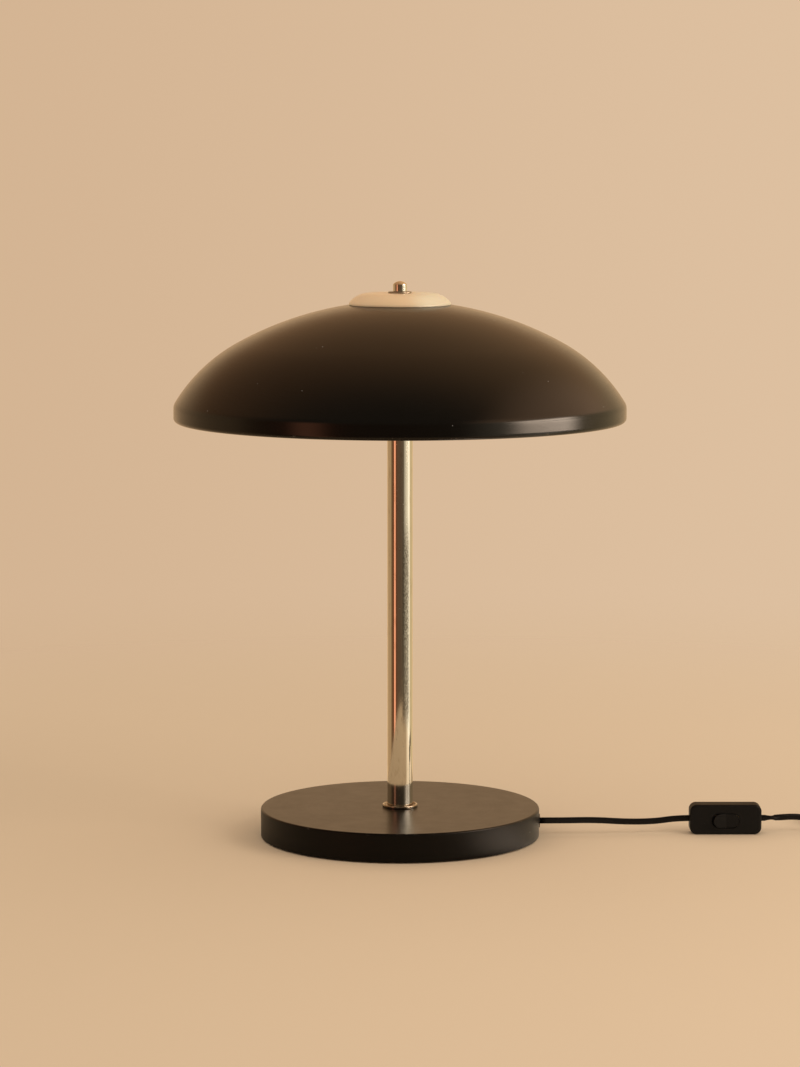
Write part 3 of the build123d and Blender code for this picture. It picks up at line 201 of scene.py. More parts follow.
# Floor and light, in metres
FLOOR_RADIUS = 6.0
FLOOR_ROUND = 96
FLOOR_GAP = 0.0002           # so that the felt and the floor aren't in one plane
FLOOR_LAP = 0.012            # how far the floor reaches in under the base
FLOOR_LIGHT_SPREAD = (-0.4, 0.5)   # from the painted shade on the left to the painted light on the right
FLOOR_FADE = (0.45, 1.7)     # away from the axis, where it thins out
SPOT_MIDDLE = (0.048, -0.225, 0.0)   # of the floor that polished surfaces show
SPOT_FADE = (0.44, 0.52)
SPOT_RIGHT = (0.78, 1.02)    # X over the way from the axis, where that floor turns lighter by painted light
LIGHT_POOL_MIDDLE = (0.150, -0.098, 0.0)   # of the painted pool of light on the floor that the base's side reflects
LIGHT_POOL_RADII = (0.012, 0.082)
KEY_PLACE = (2.4, -1.3, 1.5)
KEY_TARGET = (0.0, 0.0, 0.25)
KEY_SIZE = (1.5, 1.5)
KEY_POWER = 26.5             # watts

# The window card that the shade's band shows, in metres: its plane, and where it fades or changes tone
CARD_X = 0.75
CARD_SIDES = (-0.66, -0.41, -0.13, 0.02)
CARD_FOOT = 0.292
CARD_LOW = (0.31, 0.36)
CARD_TOP = (0.56, 0.62)
CARD_BAR = (0.437, 0.022)    # a glazing bar: its middle and half its height

# Where the backdrop and the room that polished surfaces show change tone, by the X (right), Y (back) and
# Z (up) of a direction of length 1, and for the far window also by degrees from the front towards the right
BACKDROP_X = (-0.16, 0.16)
CEILING_X = (-0.7, 0.7)
CEILING_Y = (-0.5, 0.35)
CEILING_SIDE_X = (0.45, 0.8)
CEILING_Z = (0.18, 0.45)
WINDOW_BEARINGS = (77, 84, 92, 98)
WINDOW_Z = (-0.02, 0.01, 0.28, 0.36)

# Tones of floor, light and room, linear
# The backdrop's painted shade on the left and painted light on the right
BACKDROP_SHADED = (0.655, 0.455, 0.29)
BACKDROP_LIT = (0.73, 0.53, 0.355)
AMBIENT = (0.83, 0.815, 0.79)
KEY_TONE = (0.98, 0.99, 1.0)
# The floor's painted shade on the left and painted light on the right
FLOOR_SHADED = (0.72, 0.505, 0.315)
FLOOR_LIT = (0.77, 0.545, 0.345)
FLOOR_MOTTLE = (0.5, 0.35, 0.2)
# Painted reflection: floor tones that only polished surfaces show, painted shade on the left and painted
# light on the right
FLOOR_IN_METAL_SHADED = (0.54, 0.37, 0.215)
FLOOR_IN_METAL_LIT = (1.3, 1.03, 0.72)
# Painted pool of light on the floor, shown in reflections
FLOOR_LIGHT_POOL = (4.4, 3.7, 3.1)
WALL_LEFT = (0.51, 0.32, 0.16)
WALL_BACK = (0.97, 0.62, 0.335)
WALL_RIGHT = (0.74, 0.55, 0.30)
CEILING_LEFT = (0.46, 0.235, 0.105)
CEILING_RIGHT = (0.80, 0.46, 0.22)
CEILING_SIDE = (1.6, 1.0, 0.6)
CEILING_FRONT = (0.16, 0.12, 0.08)
WINDOW_LOW = (11.0, 9.0, 7.3)
WINDOW_HIGH = (15.0, 12.4, 10.2)
WINDOW_FAR = (2.8, 2.4, 1.9)

# The room round the lamp at eye level: degrees from the front towards the right, and a tone
ROOM = [
    (-180, WALL_BACK), (-120, WALL_LEFT), (-92, WALL_LEFT), (-78, (0.20, 0.11, 0.05)),
    (-58, (0.13, 0.038, 0.012)), (-51, (1.35, 0.54, 0.29)), (-43, (1.35, 0.54, 0.29)),
    (-36, (0.13, 0.035, 0.012)), (-22, (0.13, 0.075, 0.04)), (0, (0.12, 0.07, 0.04)),
    (32, (0.14, 0.10, 0.06)), (43, (0.56, 0.47, 0.34)), (60, (0.86, 0.73, 0.53)),
    (78, (1.15, 0.98, 0.72)), (85, (1.6, 1.4, 1.1)), (93, (1.5, 1.3, 1.0)), (102, WALL_RIGHT),
    (130, WALL_RIGHT), (180, WALL_BACK),
]

# Tones of surfaces, linear; a pair is the darkest and lightest of a mottled surface
ENAMEL = ((0.0013, 0.0010, 0.0007), (0.0027, 0.0021, 0.0014))
ENAMEL_WORN = (0.06, 0.045, 0.032)
ENAMEL_DUST = (0.30, 0.27, 0.23)
ENAMEL_SHEEN = (1.0, 0.94, 0.87, 1.0)
WHITE = ((0.80, 0.78, 0.73), (0.86, 0.845, 0.80))
WHITE_HEATED = (0.78, 0.71, 0.58)
NICKEL = ((0.70, 0.675, 0.60), (0.78, 0.76, 0.69))
NICKEL_FILM = (0.60, 0.56, 0.475)
NICKEL_CRUST = (0.20, 0.18, 0.145)
NICKEL_DIRT = (0.27, 0.215, 0.155)
NICKEL_PIT = (0.12, 0.085, 0.055)
IVORY_YELLOWED = ((0.72, 0.455, 0.235), (0.815, 0.535, 0.295))
# Painted light: paler tones for the cap's right side, where the light falls
IVORY_PAINTED_LIGHT = ((0.76, 0.585, 0.355), (0.85, 0.67, 0.425))
# Grime and painted shade along the cap's foot, where it meets the shade
IVORY_GRIME_AND_SHADE = (0.30, 0.18, 0.09)
PIN = ((0.62, 0.59, 0.53), (0.78, 0.75, 0.69))
PIN_SLEEVE = (0.005, 0.0046, 0.0042)
OPAL = ((0.88, 0.87, 0.83), (0.93, 0.92, 0.89))
IRON = ((0.11, 0.10, 0.095), (0.20, 0.18, 0.165))
FELT = ((0.012, 0.014, 0.012), (0.06, 0.065, 0.058))
STRAP = ((0.010, 0.010, 0.011), (0.045, 0.044, 0.045))
MOULDED_DUST = (0.2, 0.19, 0.17)

# Plastics and rubbers: darkest and lightest tone, roughness, grain per metre, its depth in metres, IOR
MOULDED = {
    "cord_black": ((0.0026, 0.0016, 0.0011), (0.0045, 0.0031, 0.0022), 0.46, 2600.0, 0.00003, 1.22),
    "switch_black": ((0.0025, 0.0018, 0.0013), (0.0042, 0.0031, 0.0023), 0.50, 2100.0, 0.00003, 1.24),
    "black_rubber": ((0.0062, 0.006, 0.0057), (0.012, 0.0115, 0.011), 0.66, 1200.0, 0.00005, 1.38),
    "phenolic": ((0.012, 0.009, 0.007), (0.026, 0.019, 0.014), 0.34, 900.0, 0.00003, 1.45),
    "lead_sleeve": ((0.70, 0.68, 0.62), (0.80, 0.785, 0.73), 0.5, 1500.0, 0.00003, 1.45),
    "porcelain": ((0.80, 0.785, 0.74), (0.87, 0.86, 0.82), 0.4, 700.0, 0.00003, 1.45),
    "fibre_board": ((0.20, 0.075, 0.04), (0.33, 0.14, 0.08), 0.7, 800.0, 0.0001, 1.45),
}

# Plain metals: darkest and lightest tone, roughness, and how finely their lines lie along X, Y and Z
METALS = {
    "steel": ((0.50, 0.49, 0.46), (0.62, 0.61, 0.58), 0.30, (400.0, 400.0, 2600.0)),
    "brass": ((0.62, 0.42, 0.16), (0.78, 0.58, 0.27), 0.28, (2600.0, 500.0, 500.0)),
    "bulb_base": ((0.66, 0.66, 0.65), (0.78, 0.78, 0.77), 0.26, (2600.0, 400.0, 400.0)),
    "dull_nickel": ((0.33, 0.27, 0.20), (0.45, 0.38, 0.29), 0.40, (500.0, 500.0, 2600.0)),
}


def metres(values):
    return [MM * value for value in values]


# Node trees

class Tree:
    """Short calls for building the node tree of a new material or world."""

    def __init__(self, owner):
        owner.use_nodes = True
        self.owner = owner
        self.tree = owner.node_tree
        self.tree.nodes.clear()

    def add(self, kind, inputs=None, **settings):
        """A new node, with each input linked to a socket or set to a constant."""
        node = self.tree.nodes.new(kind)
        for name, value in settings.items():
            setattr(node, name, value)
        for name, value in (inputs or {}).items():
            if isinstance(value, bpy.types.NodeSocket):
                self.tree.links.new(value, node.inputs[name])
            else:
                node.inputs[name].default_value = value
        return node

    def math(self, operation, a, b=0.0, c=0.0, clamp=False):
        node = self.add("ShaderNodeMath", {0: a, 1: b, 2: c}, operation=operation, use_clamp=clamp)
        return node.outputs[0]

    def total(self, start, *terms):
        """A start plus each value times its weight."""
        result = start
        for value, weight in terms:
            result = self.math("MULTIPLY_ADD", value, weight, result)
        return result

    def hypotenuse(self, a, b):
        squares = self.math("MULTIPLY_ADD", a, a, self.math("MULTIPLY", b, b))
        return self.math("SQRT", squares)

    def mix(self, factor, a, b):
        """A colour between two, each given as a socket or a tone."""
        ends = [value if isinstance(value, bpy.types.NodeSocket) else (*value, 1.0) for value in (a, b)]
        return self.add("ShaderNodeMix", {0: factor, 6: ends[0], 7: ends[1]}, data_type="RGBA").outputs[2]

    def ramp(self, value, low, high, start=0.0, end=1.0):
        """A smooth step of a value from low to high, mapped to start and end."""
        inputs = dict(enumerate((value, low, high, start, end)))
        return self.add("ShaderNodeMapRange", inputs, interpolation_type="SMOOTHSTEP").outputs[0]

    def within(self, value, outer_low, inner_low, inner_high, outer_high):
        """1 between the inner limits and 0 outside the outer ones, with smooth steps between."""
        rise = self.ramp(value, outer_low, inner_low)
        return self.math("MULTIPLY", rise, self.ramp(value, outer_high, inner_high))

    def place(self, scale=(1.0, 1.0, 1.0)):
        """Object coordinates in metres, stretched by a scale."""
        coordinates = self.add("ShaderNodeTexCoord").outputs["Object"]
        return self.add("ShaderNodeMapping", {"Vector": coordinates, "Scale": scale}).outputs[0]

    def parts(self, vector=None):
        """The X, Y and Z of a vector, or else of the place."""
        source = self.place() if vector is None else vector
        return self.add("ShaderNodeSeparateXYZ", {"Vector": source}).outputs

    def distance(self, point=(0.0, 0.0, 0.0)):
        """From the place to a point."""
        node = self.add("ShaderNodeVectorMath", {0: self.place(), 1: point}, operation="DISTANCE")
        return node.outputs["Value"]

    def noise(self, scale, detail=3.0, roughness=0.55, vector=None):
        """Noise by a vector, or else by the place."""
        node = self.add("ShaderNodeTexNoise", {
            "Vector": self.place() if vector is None else vector,
            "Scale": scale, "Detail": detail, "Roughness": roughness})
        return node.outputs["Fac"]

    def cloud(self, scale):
        """Soft mottling."""
        return self.noise(scale, 4.0, 0.6)

    def streaks(self, scale, detail, roughness):
        """Noise that is stretched by its scale along X, Y and Z."""
        return self.noise(1.0, detail, roughness, self.place(scale))

    def specks(self, scale, share, size):
        """Small round spots: a share of the cells of a grid, each with one spot of a size."""
        cells = self.add("ShaderNodeTexVoronoi", {"Vector": self.place(), "Scale": scale})
        picked = self.add("ShaderNodeSeparateColor", {"Color": cells.outputs["Color"]})
        chosen = self.math("GREATER_THAN", picked.outputs[0], 1.0 - share)
        spot = self.ramp(cells.outputs["Distance"], size * 0.5, size, 1.0, 0.0)
        return self.math("MULTIPLY", chosen, spot)

    def bump(self, height, distance):
        node = self.add("ShaderNodeBump", {"Height": height, "Distance": distance, "Strength": 1.0})
        return node.outputs[0]

    def surface(self, inputs):
        """Ends a material with its one shader, and gives the material."""
        shader = self.add("ShaderNodeBsdfPrincipled", inputs)
        self.add("ShaderNodeOutputMaterial", {"Surface": shader.outputs[0]})
        return self.owner


# Materials

def material(name):
    """The tree of a new material."""
    return Tree(bpy.data.materials.new(name))


def enamel(name, roughness, ior, edge_radius, edge_height, side_dulling):
    """Stove enamel on spun sheet: mottling, orange peel, turning lines, dust, a worn edge and a dull side."""
    tree = material(name)
    x, y, z = tree.parts()
    radius = tree.hypotenuse(x, y)
    rings_at = tree.add("ShaderNodeCombineXYZ", {"X": radius, "Y": z})
    rings = tree.noise(420.0, 4.0, 0.7, rings_at.outputs[0])
    smudge = tree.noise(55.0, 5.0, 0.65)
    peel = tree.noise(620.0, 2.0, 0.5)
    dust = tree.specks(190.0, 0.022, 0.11)
    aside = tree.math("SUBTRACT", radius, MM * edge_radius)
    above = tree.math("SUBTRACT", z, MM * edge_height)
    near_edge = tree.ramp(tree.hypotenuse(aside, above), *metres(WEAR_REACH), 0.75, 0.0)
    chips = tree.ramp(tree.noise(230.0, 5.0, 0.7), 0.58, 0.70)
    worn = tree.math("MULTIPLY", near_edge, chips)
    dulled = tree.ramp(above, -MM * DULL_BELOW_EDGE, 0.0, side_dulling, 0.0)
    colour = tree.mix(tree.cloud(14.0), *ENAMEL)
    colour = tree.mix(worn, colour, ENAMEL_WORN)
    return tree.surface({
        "Base Color": tree.mix(tree.math("MULTIPLY", dust, 0.7), colour, ENAMEL_DUST),
        "Roughness": tree.total(roughness - 0.05, (smudge, 0.10), (rings, 0.06), (dulled, 1.0), (worn, 0.2)),
        "Normal": tree.bump(tree.total(rings, (peel, 0.5), (dust, 1.5)), 0.00002),
        "IOR": ior,
        "Specular Tint": ENAMEL_SHEEN,
    })


def white_enamel():
    """White inside of the shade, a little yellowed by heat over the bulbs."""
    tree = material("white_enamel")
    cloud = tree.cloud(12.0)
    heat = tree.ramp(tree.parts()[2], *metres(SHADE_HEAT), 0.0, 0.55)
    return tree.surface({
        "Base Color": tree.mix(heat, tree.mix(cloud, *WHITE), WHITE_HEATED),
        "Roughness": tree.total(0.38, (cloud, 0.1)),
        "Normal": tree.bump(tree.noise(500.0, 2.0), 0.00002),
    })


def nickel():
    """Polished plating with age: drawn streaks, a film in flecks, pits, a corroded patch and a dirty foot."""
    tree = material("bright_nickel")
    x, _, z = tree.parts()
    drawn = tree.streaks((900.0, 900.0, 9.0), 3.0, 0.6)
    film = tree.ramp(tree.streaks((260.0, 260.0, 70.0), 6.0, 0.7), 0.52, 0.72)
    pits = tree.specks(330.0, 0.12, 0.15)
    from_middle = tree.math("ABSOLUTE", tree.math("SUBTRACT", x, MM * PATCH_MIDDLE))
    half_width = MM * PATCH_HALF_WIDTH
    patch = tree.ramp(from_middle, half_width * 0.5, half_width, 1.0, 0.0)
    patch = tree.math("MULTIPLY", patch, tree.within(z, *metres(PATCH_LEVELS)))
    speckle = tree.ramp(tree.streaks((1300.0, 1300.0, 420.0), 5.0, 0.7), 0.36, 0.58, 0.40, 1.0)
    crust = tree.math("MULTIPLY", speckle, patch)
    foot = tree.ramp(z, MM * GRIME_TOP, MM * (GRIME_TOP - GRIME_FADE))
    dirt = tree.math("MULTIPLY", foot, tree.ramp(tree.noise(260.0, 5.0, 0.7), 0.30, 0.55, 0.35, 0.95))
    aged = tree.mix(film, tree.mix(drawn, *NICKEL), NICKEL_FILM)
    aged = tree.mix(crust, aged, NICKEL_CRUST)
    aged = tree.mix(dirt, aged, NICKEL_DIRT)
    return tree.surface({
        "Base Color": tree.mix(tree.math("MULTIPLY", pits, 0.7), aged, NICKEL_PIT),
        "Metallic": 1.0,
        "Roughness": tree.total(
            0.045, (film, 0.08), (drawn, 0.04), (crust, 0.14), (dirt, 0.15), (pits, 0.3)),
        "Normal": tree.bump(tree.total(0.0, (drawn, 0.2), (pits, -1.0), (crust, -0.4)), 0.00003),
    })


def ivory():
    """Yellowed ivory plastic, paler on the right by painted light, and darker where it meets the shade by
    dirt and painted shade.
    """
    tree = material("ivory_plastic")
    cloud = tree.cloud(26.0)
    x, _, z = tree.parts()
    low = CAP_TOP - CAP_HEIGHT
    ragged = tree.total(z, (cloud, MM * CAP_GRIME_AND_SHADE_RAGGED))
    # Grime and painted shade: the cap darkens towards its foot
    grime_and_shade = tree.ramp(ragged, *[MM * (low + rise) for rise in CAP_GRIME_AND_SHADE], 0.5, 0.0)
    # Painted light: the cap turns paler towards the right
    pale = tree.ramp(x, *metres(CAP_PAINTED_LIGHT))
    yellowed_and_lit = tree.mix(pale, tree.mix(cloud, *IVORY_YELLOWED), tree.mix(cloud, *IVORY_PAINTED_LIGHT))
    return tree.surface({
        "Base Color": tree.mix(grime_and_shade, yellowed_and_lit, IVORY_GRIME_AND_SHADE),
        "Roughness": tree.total(0.28, (cloud, 0.16)),
        "Normal": tree.bump(tree.noise(380.0), 0.00003),
        "Subsurface Weight": 0.15,
        "Subsurface Radius": (0.004, 0.0028, 0.0016),
        "Subsurface Scale": 0.5,
    })


def moulded(name, dark, light, roughness, grain, depth, ior):
    """Moulded plastic or rubber with a fine grain and handled, unevenly dull patches."""
    tree = material(name)
    cloud = tree.cloud(60.0)
    fine = tree.noise(grain, 3.0, 0.6)
    dust = tree.math("MULTIPLY", tree.specks(700.0, 0.03, 0.14), 0.35)
    return tree.surface({
        "Base Color": tree.mix(dust, tree.mix(cloud, dark, light), MOULDED_DUST),
        "Roughness": tree.total(roughness - 0.08, (cloud, 0.16), (fine, 0.06)),
        "Normal": tree.bump(fine, depth),
        "IOR": ior,
    })


def bare_metal(name, dark, light, roughness, stretch):
    """Plain metal with the marks of turning or drawing, and duller patches."""
    tree = material(name)
    lines = tree.streaks(stretch, 4.0, 0.65)
    cloud = tree.cloud(90.0)
    return tree.surface({
        "Base Color": tree.mix(cloud, dark, light),
        "Metallic": 1.0,
        "Roughness": tree.total(roughness - 0.06, (cloud, 0.18), (lines, 0.10)),
        "Normal": tree.bump(lines, 0.00002),
    })


def sleeved_pin():
    """Plated pin with a black sleeve on the half next to the plug."""
    tree = material("plated_pin")
    sleeve_end = (PIN_SLEEVE_END, PIN_SLEEVE_END + PIN_SLEEVE_STEP)
    bare = tree.ramp(tree.parts()[1], *metres(sleeve_end))
    lines = tree.streaks((500.0, 2600.0, 500.0), 4.0, 0.65)
    return tree.surface({
        "Base Color": tree.mix(bare, PIN_SLEEVE, tree.mix(lines, *PIN)),
        "Metallic": bare,
        "Roughness": tree.total(0.39, (lines, 0.12), (bare, -0.25)),
        "Normal": tree.bump(lines, 0.00002),
    })


def opal_glass():
    """White opal glass of a bulb, glossy outside."""
    tree = material("opal_glass")
    cloud = tree.noise(40.0, 3.0, 0.5)
    return tree.surface({
        "Base Color": tree.mix(cloud, *OPAL),
        "Roughness": tree.total(0.08, (cloud, 0.06)),
        "Subsurface Weight": 0.35,
        "Subsurface Radius": (0.006, 0.0055, 0.005),
        "Coat Weight": 0.5,
    })


def cast_iron():
    """Rough cast iron with the grain of its sand mould."""
    tree = material("cast_iron")
    sand = tree.noise(420.0, 5.0, 0.7)
    return tree.surface({
        "Base Color": tree.mix(tree.cloud(30.0), *IRON),
        "Metallic": 0.6,
        "Roughness": tree.total(0.6, (sand, 0.2)),
        "Normal": tree.bump(sand, 0.0002),
    })


def felt():
    """Pressed wool: tangled fibres with a faint sheen."""
    tree = material("felt")
    fibres = tree.streaks((900.0, 2600.0, 900.0), 4.0, 0.7)
    crossing = tree.streaks((2600.0, 900.0, 900.0), 4.0, 0.7)
    tangle = tree.math("MAXIMUM", fibres, crossing)
    return tree.surface({
        "Base Color": tree.mix(tangle, *FELT),
        "Roughness": tree.total(0.88, (tree.noise(70.0), 0.1)),
        "Sheen Weight": 0.05,
        "Normal": tree.bump(tangle, 0.0003),
    })


def woven_strap():
    """Black woven tape: crossing ribs of thread with stray bright fibres."""
    tree = material("tie_strap")
    x, y, z = tree.parts()
    warp = tree.math("SINE", tree.math("MULTIPLY", x, 7800.0))
    weft = tree.math("SINE", tree.math("MULTIPLY", tree.math("ADD", y, z), 5200.0))
    weave = tree.math("MULTIPLY", warp, weft)
    fibres = tree.noise(1500.0, 3.0, 0.7)
    return tree.surface({
        "Base Color": tree.mix(fibres, *STRAP),
        "Roughness": tree.total(0.78, (fibres, 0.12)),
        "Sheen Weight": 0.06,
        "Normal": tree.bump(tree.total(fibres, (weave, 0.5)), 0.0002),
    })


def make_materials():
    """One material for each slot of the record, and three more for the shade and the washer."""
    made = {name: moulded(name, *values) for name, values in MOULDED.items()}
    made.update({name: bare_metal(name, *values) for name, values in METALS.items()})
    made.update({
        "ivory_plastic": ivory(),
        "bright_nickel": nickel(),
        "cast_iron": cast_iron(),
        "plated_pin": sleeved_pin(),
        "felt": felt(),
        "opal_glass": opal_glass(),
        "tie_strap": woven_strap(),
        "white_enamel": white_enamel(),
        "shade_enamel": enamel(
            "shade_enamel", roughness=0.18, ior=1.40, edge_radius=SHADE_DIAMETER / 2,
            edge_height=SHADE_WEAR_HEIGHT, side_dulling=0.0),
        "black_enamel": enamel(
            "base_enamel", roughness=0.27, ior=1.28, edge_radius=BASE_RADIUS - BASE_WEAR_INSET,
            edge_height=BASE_HEIGHT - BASE_WEAR_INSET, side_dulling=0.10),
    })
    return made


# Shapes

def spread(start, end, count):
    """Evenly spaced values from start to end."""
    return [start + (end - start) * index / (count - 1) for index in range(count)]


def arc(centre, radius, start, end, count):
    """Points of an arc in (radius, height), with angles from straight up, in radians."""
    return [(centre[0] + radius * math.sin(angle), centre[1] + radius * math.cos(angle))
            for angle in spread(start, end, count)]


def between(start, end, share):
    """The point at a share of the way from start to end."""
    return (start[0] + (end[0] - start[0]) * share, start[1] + (end[1] - start[1]) * share)


def straight(*corners):
    """Straight runs from corner to corner, with points near their ends that keep smooth shading flat."""
    points = []
    for start, end in zip(corners, corners[1:]):
        run = math.dist(start, end)
        shares = [0.0, 1.0]
        if run > 3 * LINE_SUPPORT:
            shares = [0.0, LINE_SUPPORT / run, 1.0 - LINE_SUPPORT / run, 1.0]
        points += [between(start, end, share) for share in shares]
    return points


def stand(name, data):
    """A new object in the scene."""
    made = bpy.data.objects.new(name, data)
    bpy.context.scene.collection.objects.link(made)
    return made


def show(name, made, *materials):
    """Turns a bmesh into an object with these materials."""
    mesh = bpy.data.meshes.new(name)
    made.to_mesh(mesh)
    made.free()
    piece = stand(name, mesh)
    for finish in materials:
        mesh.materials.append(finish)
    return piece


def closed(name, made, *materials):
    """Turns a closed bmesh into an object, with all its faces outwards."""
    bmesh.ops.recalc_face_normals(made, faces=made.faces)
    return show(name, made, *materials)


def band(made, ring, after, smooth=True):
    """Faces from one closed ring of vertices to the next, triangles where a ring is a single point."""
    faces = []
    for step in range(len(ring)):
        beside = (step + 1) % len(ring)
        corners = list(dict.fromkeys((ring[step], ring[beside], after[beside], after[step])))
        if len(corners) > 2:
            face = made.faces.new(corners)
            face.smooth = smooth
            faces.append(face)
    return faces


def lathe(name, runs, materials, segments, matrix=Matrix.Identity(4)):
    """A closed piece turned about Z, with a material for each run of points, in millimetres."""
    points, indices = [], []
    for index, run in enumerate(runs):
        for point in run:
            if points and math.dist(points[-1], point) < SAME_POINT:
                continue
            points.append(point)
            indices.append(index)
    if math.dist(points[0], points[-1]) < SAME_POINT:
        points.pop()
        indices.pop()
    turns = [2 * math.pi * step / segments for step in range(segments)]
    made = bmesh.new()
    rings = []
    for radius, height in points:
        if radius < SAME_POINT:
            rings.append([made.verts.new((0, 0, MM * height))] * segments)
            continue
        out, up = metres((radius, height))
        rings.append([made.verts.new((out * math.cos(turn), out * math.sin(turn), up)) for turn in turns])
    for number, ring in enumerate(rings):
        follower = (number + 1) % len(rings)
        for face in band(made, ring, rings[follower]):
            face.material_index = indices[follower]
    bmesh.ops.transform(made, matrix=matrix, verts=made.verts)
    return closed(name, made, *materials)


def dress(piece, body, slot, *nodes):
    """The piece rides on a body and stands for CAD nodes, which it hides; the slot is not used."""
    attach(piece, body)
    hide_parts(*nodes)


def turned(name, points, finish, segments, slot, node, body=LAMP, matrix=Matrix.Identity(4)):
    """A turned piece of one finish that stands for one CAD node."""
    dress(lathe(name, [points], [finish], segments, matrix), body, slot, node)


def drill(piece, radius, start, end):
    """Cuts a round hole along a line through a piece, in metres."""
    start, end = Vector(start), Vector(end)
    reach = end - start
    made = bmesh.new()
    bmesh.ops.create_cone(made, cap_ends=True, segments=DRILL_ROUND, radius1=radius, radius2=radius,
                          depth=reach.length)
    turn = Vector((0, 0, 1)).rotation_difference(reach).to_matrix().to_4x4()
    bmesh.ops.transform(made, matrix=Matrix.Translation((start + end) / 2) @ turn, verts=made.verts)
    cutter = show("drill", made)
    cut = piece.modifiers.new("hole", "BOOLEAN")
    cut.object = cutter
    bpy.context.view_layer.update()
    drilled = bpy.data.meshes.new_from_object(piece.evaluated_get(bpy.context.evaluated_depsgraph_get()))
    piece.modifiers.clear()
    piece.data = drilled
    cutter_mesh = cutter.data
    bpy.data.objects.remove(cutter)
    bpy.data.meshes.remove(cutter_mesh)


def make_base(finish):
    """The hollow drum of the base, with a hole in its side for the cord."""
    edge = (BASE_RADIUS - BASE_EDGE_RADIUS, BASE_HEIGHT - BASE_EDGE_RADIUS)
    foot = (BASE_RADIUS - BASE_FOOT_ROUNDING, BASE_RIM_LIFT + BASE_FOOT_ROUNDING)
    inner = BASE_RADIUS - BASE_WALL
    inner_top = BASE_HEIGHT - BASE_WALL
    around_hole = 1.5 * GROMMET_HOLE_RADIUS
    below_hole = CORD_EXIT_HEIGHT - around_hole
    above_hole = CORD_EXIT_HEIGHT + around_hole
    outside = [
        *straight((TUBE_HOLE_RADIUS, BASE_HEIGHT), (edge[0], BASE_HEIGHT)),
        *arc(edge, BASE_EDGE_RADIUS, 0, QUARTER, 9),
        (BASE_RADIUS, above_hole),
        (BASE_RADIUS, below_hole),
        *arc(foot, BASE_FOOT_ROUNDING, QUARTER, math.pi, 4),
    ]
    inside = [
        (inner, BASE_RIM_LIFT),
        (inner, below_hole),
        (inner, above_hole),
        *straight((inner, inner_top), (TUBE_HOLE_RADIUS, inner_top)),
    ]
    shell = lathe("base_shell", [outside + inside], [finish], LARGE_ROUND)
    drill(shell, MM * GROMMET_HOLE_RADIUS, metres((inner - DRILL_OVERRUN, 0, CORD_EXIT_HEIGHT)),
          metres((BASE_RADIUS + DRILL_OVERRUN, 0, CORD_EXIT_HEIGHT)))
    dress(shell, LAMP, "black_enamel", "base_cover")


def make_felt(finish):
    """The felt disc under the base, with a soft edge."""
    rounding = FELT_THICKNESS / 3
    rim = FELT_RADIUS - rounding
    radii = [rim * ring / FELT_RINGS for ring in range(FELT_RINGS)]
    pad = [
        *[(radius, FELT_THICKNESS) for radius in radii],
        *arc((rim, FELT_THICKNESS - rounding), rounding, 0, QUARTER, 4),
        *arc((rim, rounding), rounding, QUARTER, math.pi, 4),
        *[(radius, 0.0) for radius in reversed(radii)],
    ]
    turned("felt_pad", pad, finish, MIDDLE_ROUND, "felt", "base_felt")


def make_stem(finish):
    """The plated tube."""
    inner = STEM_RADIUS - STEM_WALL
    corner = STEM_RADIUS - STEM_BEVEL
    top = STEM_TOP - STEM_BEVEL
    foot = STEM_FOOT + STEM_BEVEL
    tube = [
        *arc((corner, top), STEM_BEVEL, 0, QUARTER, 4),
        *straight((STEM_RADIUS, top), (STEM_RADIUS, foot)),
        *arc((corner, foot), STEM_BEVEL, QUARTER, math.pi, 4),
        *straight((inner, STEM_FOOT), (inner, STEM_TOP)),
    ]
    turned("stem", tube, finish, STEM_ROUND, "bright_nickel", "stem_tube")


def make_flange(finish):
    """The dished collar at the stem's foot, with a round bead along its edge."""
    bead = FLANGE_BEAD / 2
    bead_middle = (FLANGE_RADIUS - bead, BASE_HEIGHT + FLANGE_HEIGHT - bead)
    bead_inside = FLANGE_RADIUS - FLANGE_BEAD
    floor = BASE_HEIGHT + FLANGE_FLOOR
    collar = [
        *straight((TUBE_HOLE_RADIUS, floor), (bead_inside - FLANGE_HOLLOW, floor)),
        (bead_inside - FLANGE_CORNER[0], floor + FLANGE_CORNER[1]),
        *arc(bead_middle, bead, -QUARTER, QUARTER, 14),
        *straight((FLANGE_RADIUS, bead_middle[1]), (FLANGE_RADIUS - FLANGE_DRAFT, BASE_HEIGHT)),
        *straight((FLANGE_RADIUS - FLANGE_FOOT_INSET, BASE_HEIGHT), (TUBE_HOLE_RADIUS, BASE_HEIGHT)),
    ]
    turned("stem_collar", collar, finish, STEM_ROUND, "bright_nickel", "stem_flange")


def shade_arcs():
    """The shade's arcs from crown to lip.

    Each is its centre (radius, height), radius, start and end angle from up, and number of points.
    """
    crown_angle = math.radians(SHADE_CROWN_ANGLE)
    rim = SHADE_DIAMETER / 2
    crown_radius = SHADE_DIAMETER * SHADE_CROWN_SHARE
    flank_radius = SHADE_DIAMETER * SHADE_FLANK_SHARE
    crown_height = CROWN_TOP - crown_radius
    step = crown_radius - flank_radius
    flank = (step * math.sin(crown_angle), crown_height + step * math.cos(crown_angle))
    shoulder_out = rim - SHADE_SHOULDER_RADIUS
    step = flank_radius - SHADE_SHOULDER_RADIUS
    shoulder_angle = math.asin((shoulder_out - flank[0]) / step)
    shoulder_height = flank[1] + step * math.cos(shoulder_angle)
    roll = (rim - SHADE_ROLL_RADIUS, shoulder_height - SHADE_BAND_HEIGHT)
    hole_angle = math.asin(ROD_HOLE_RADIUS / crown_radius)
    return [
        ((0, crown_height), crown_radius, hole_angle, crown_angle, 40),
        (flank, flank_radius, crown_angle, shoulder_angle, 48),
        ((shoulder_out, shoulder_height), SHADE_SHOULDER_RADIUS, shoulder_angle, QUARTER, 24),
        (roll, SHADE_ROLL_RADIUS, QUARTER, 3 * QUARTER, 28),
    ]


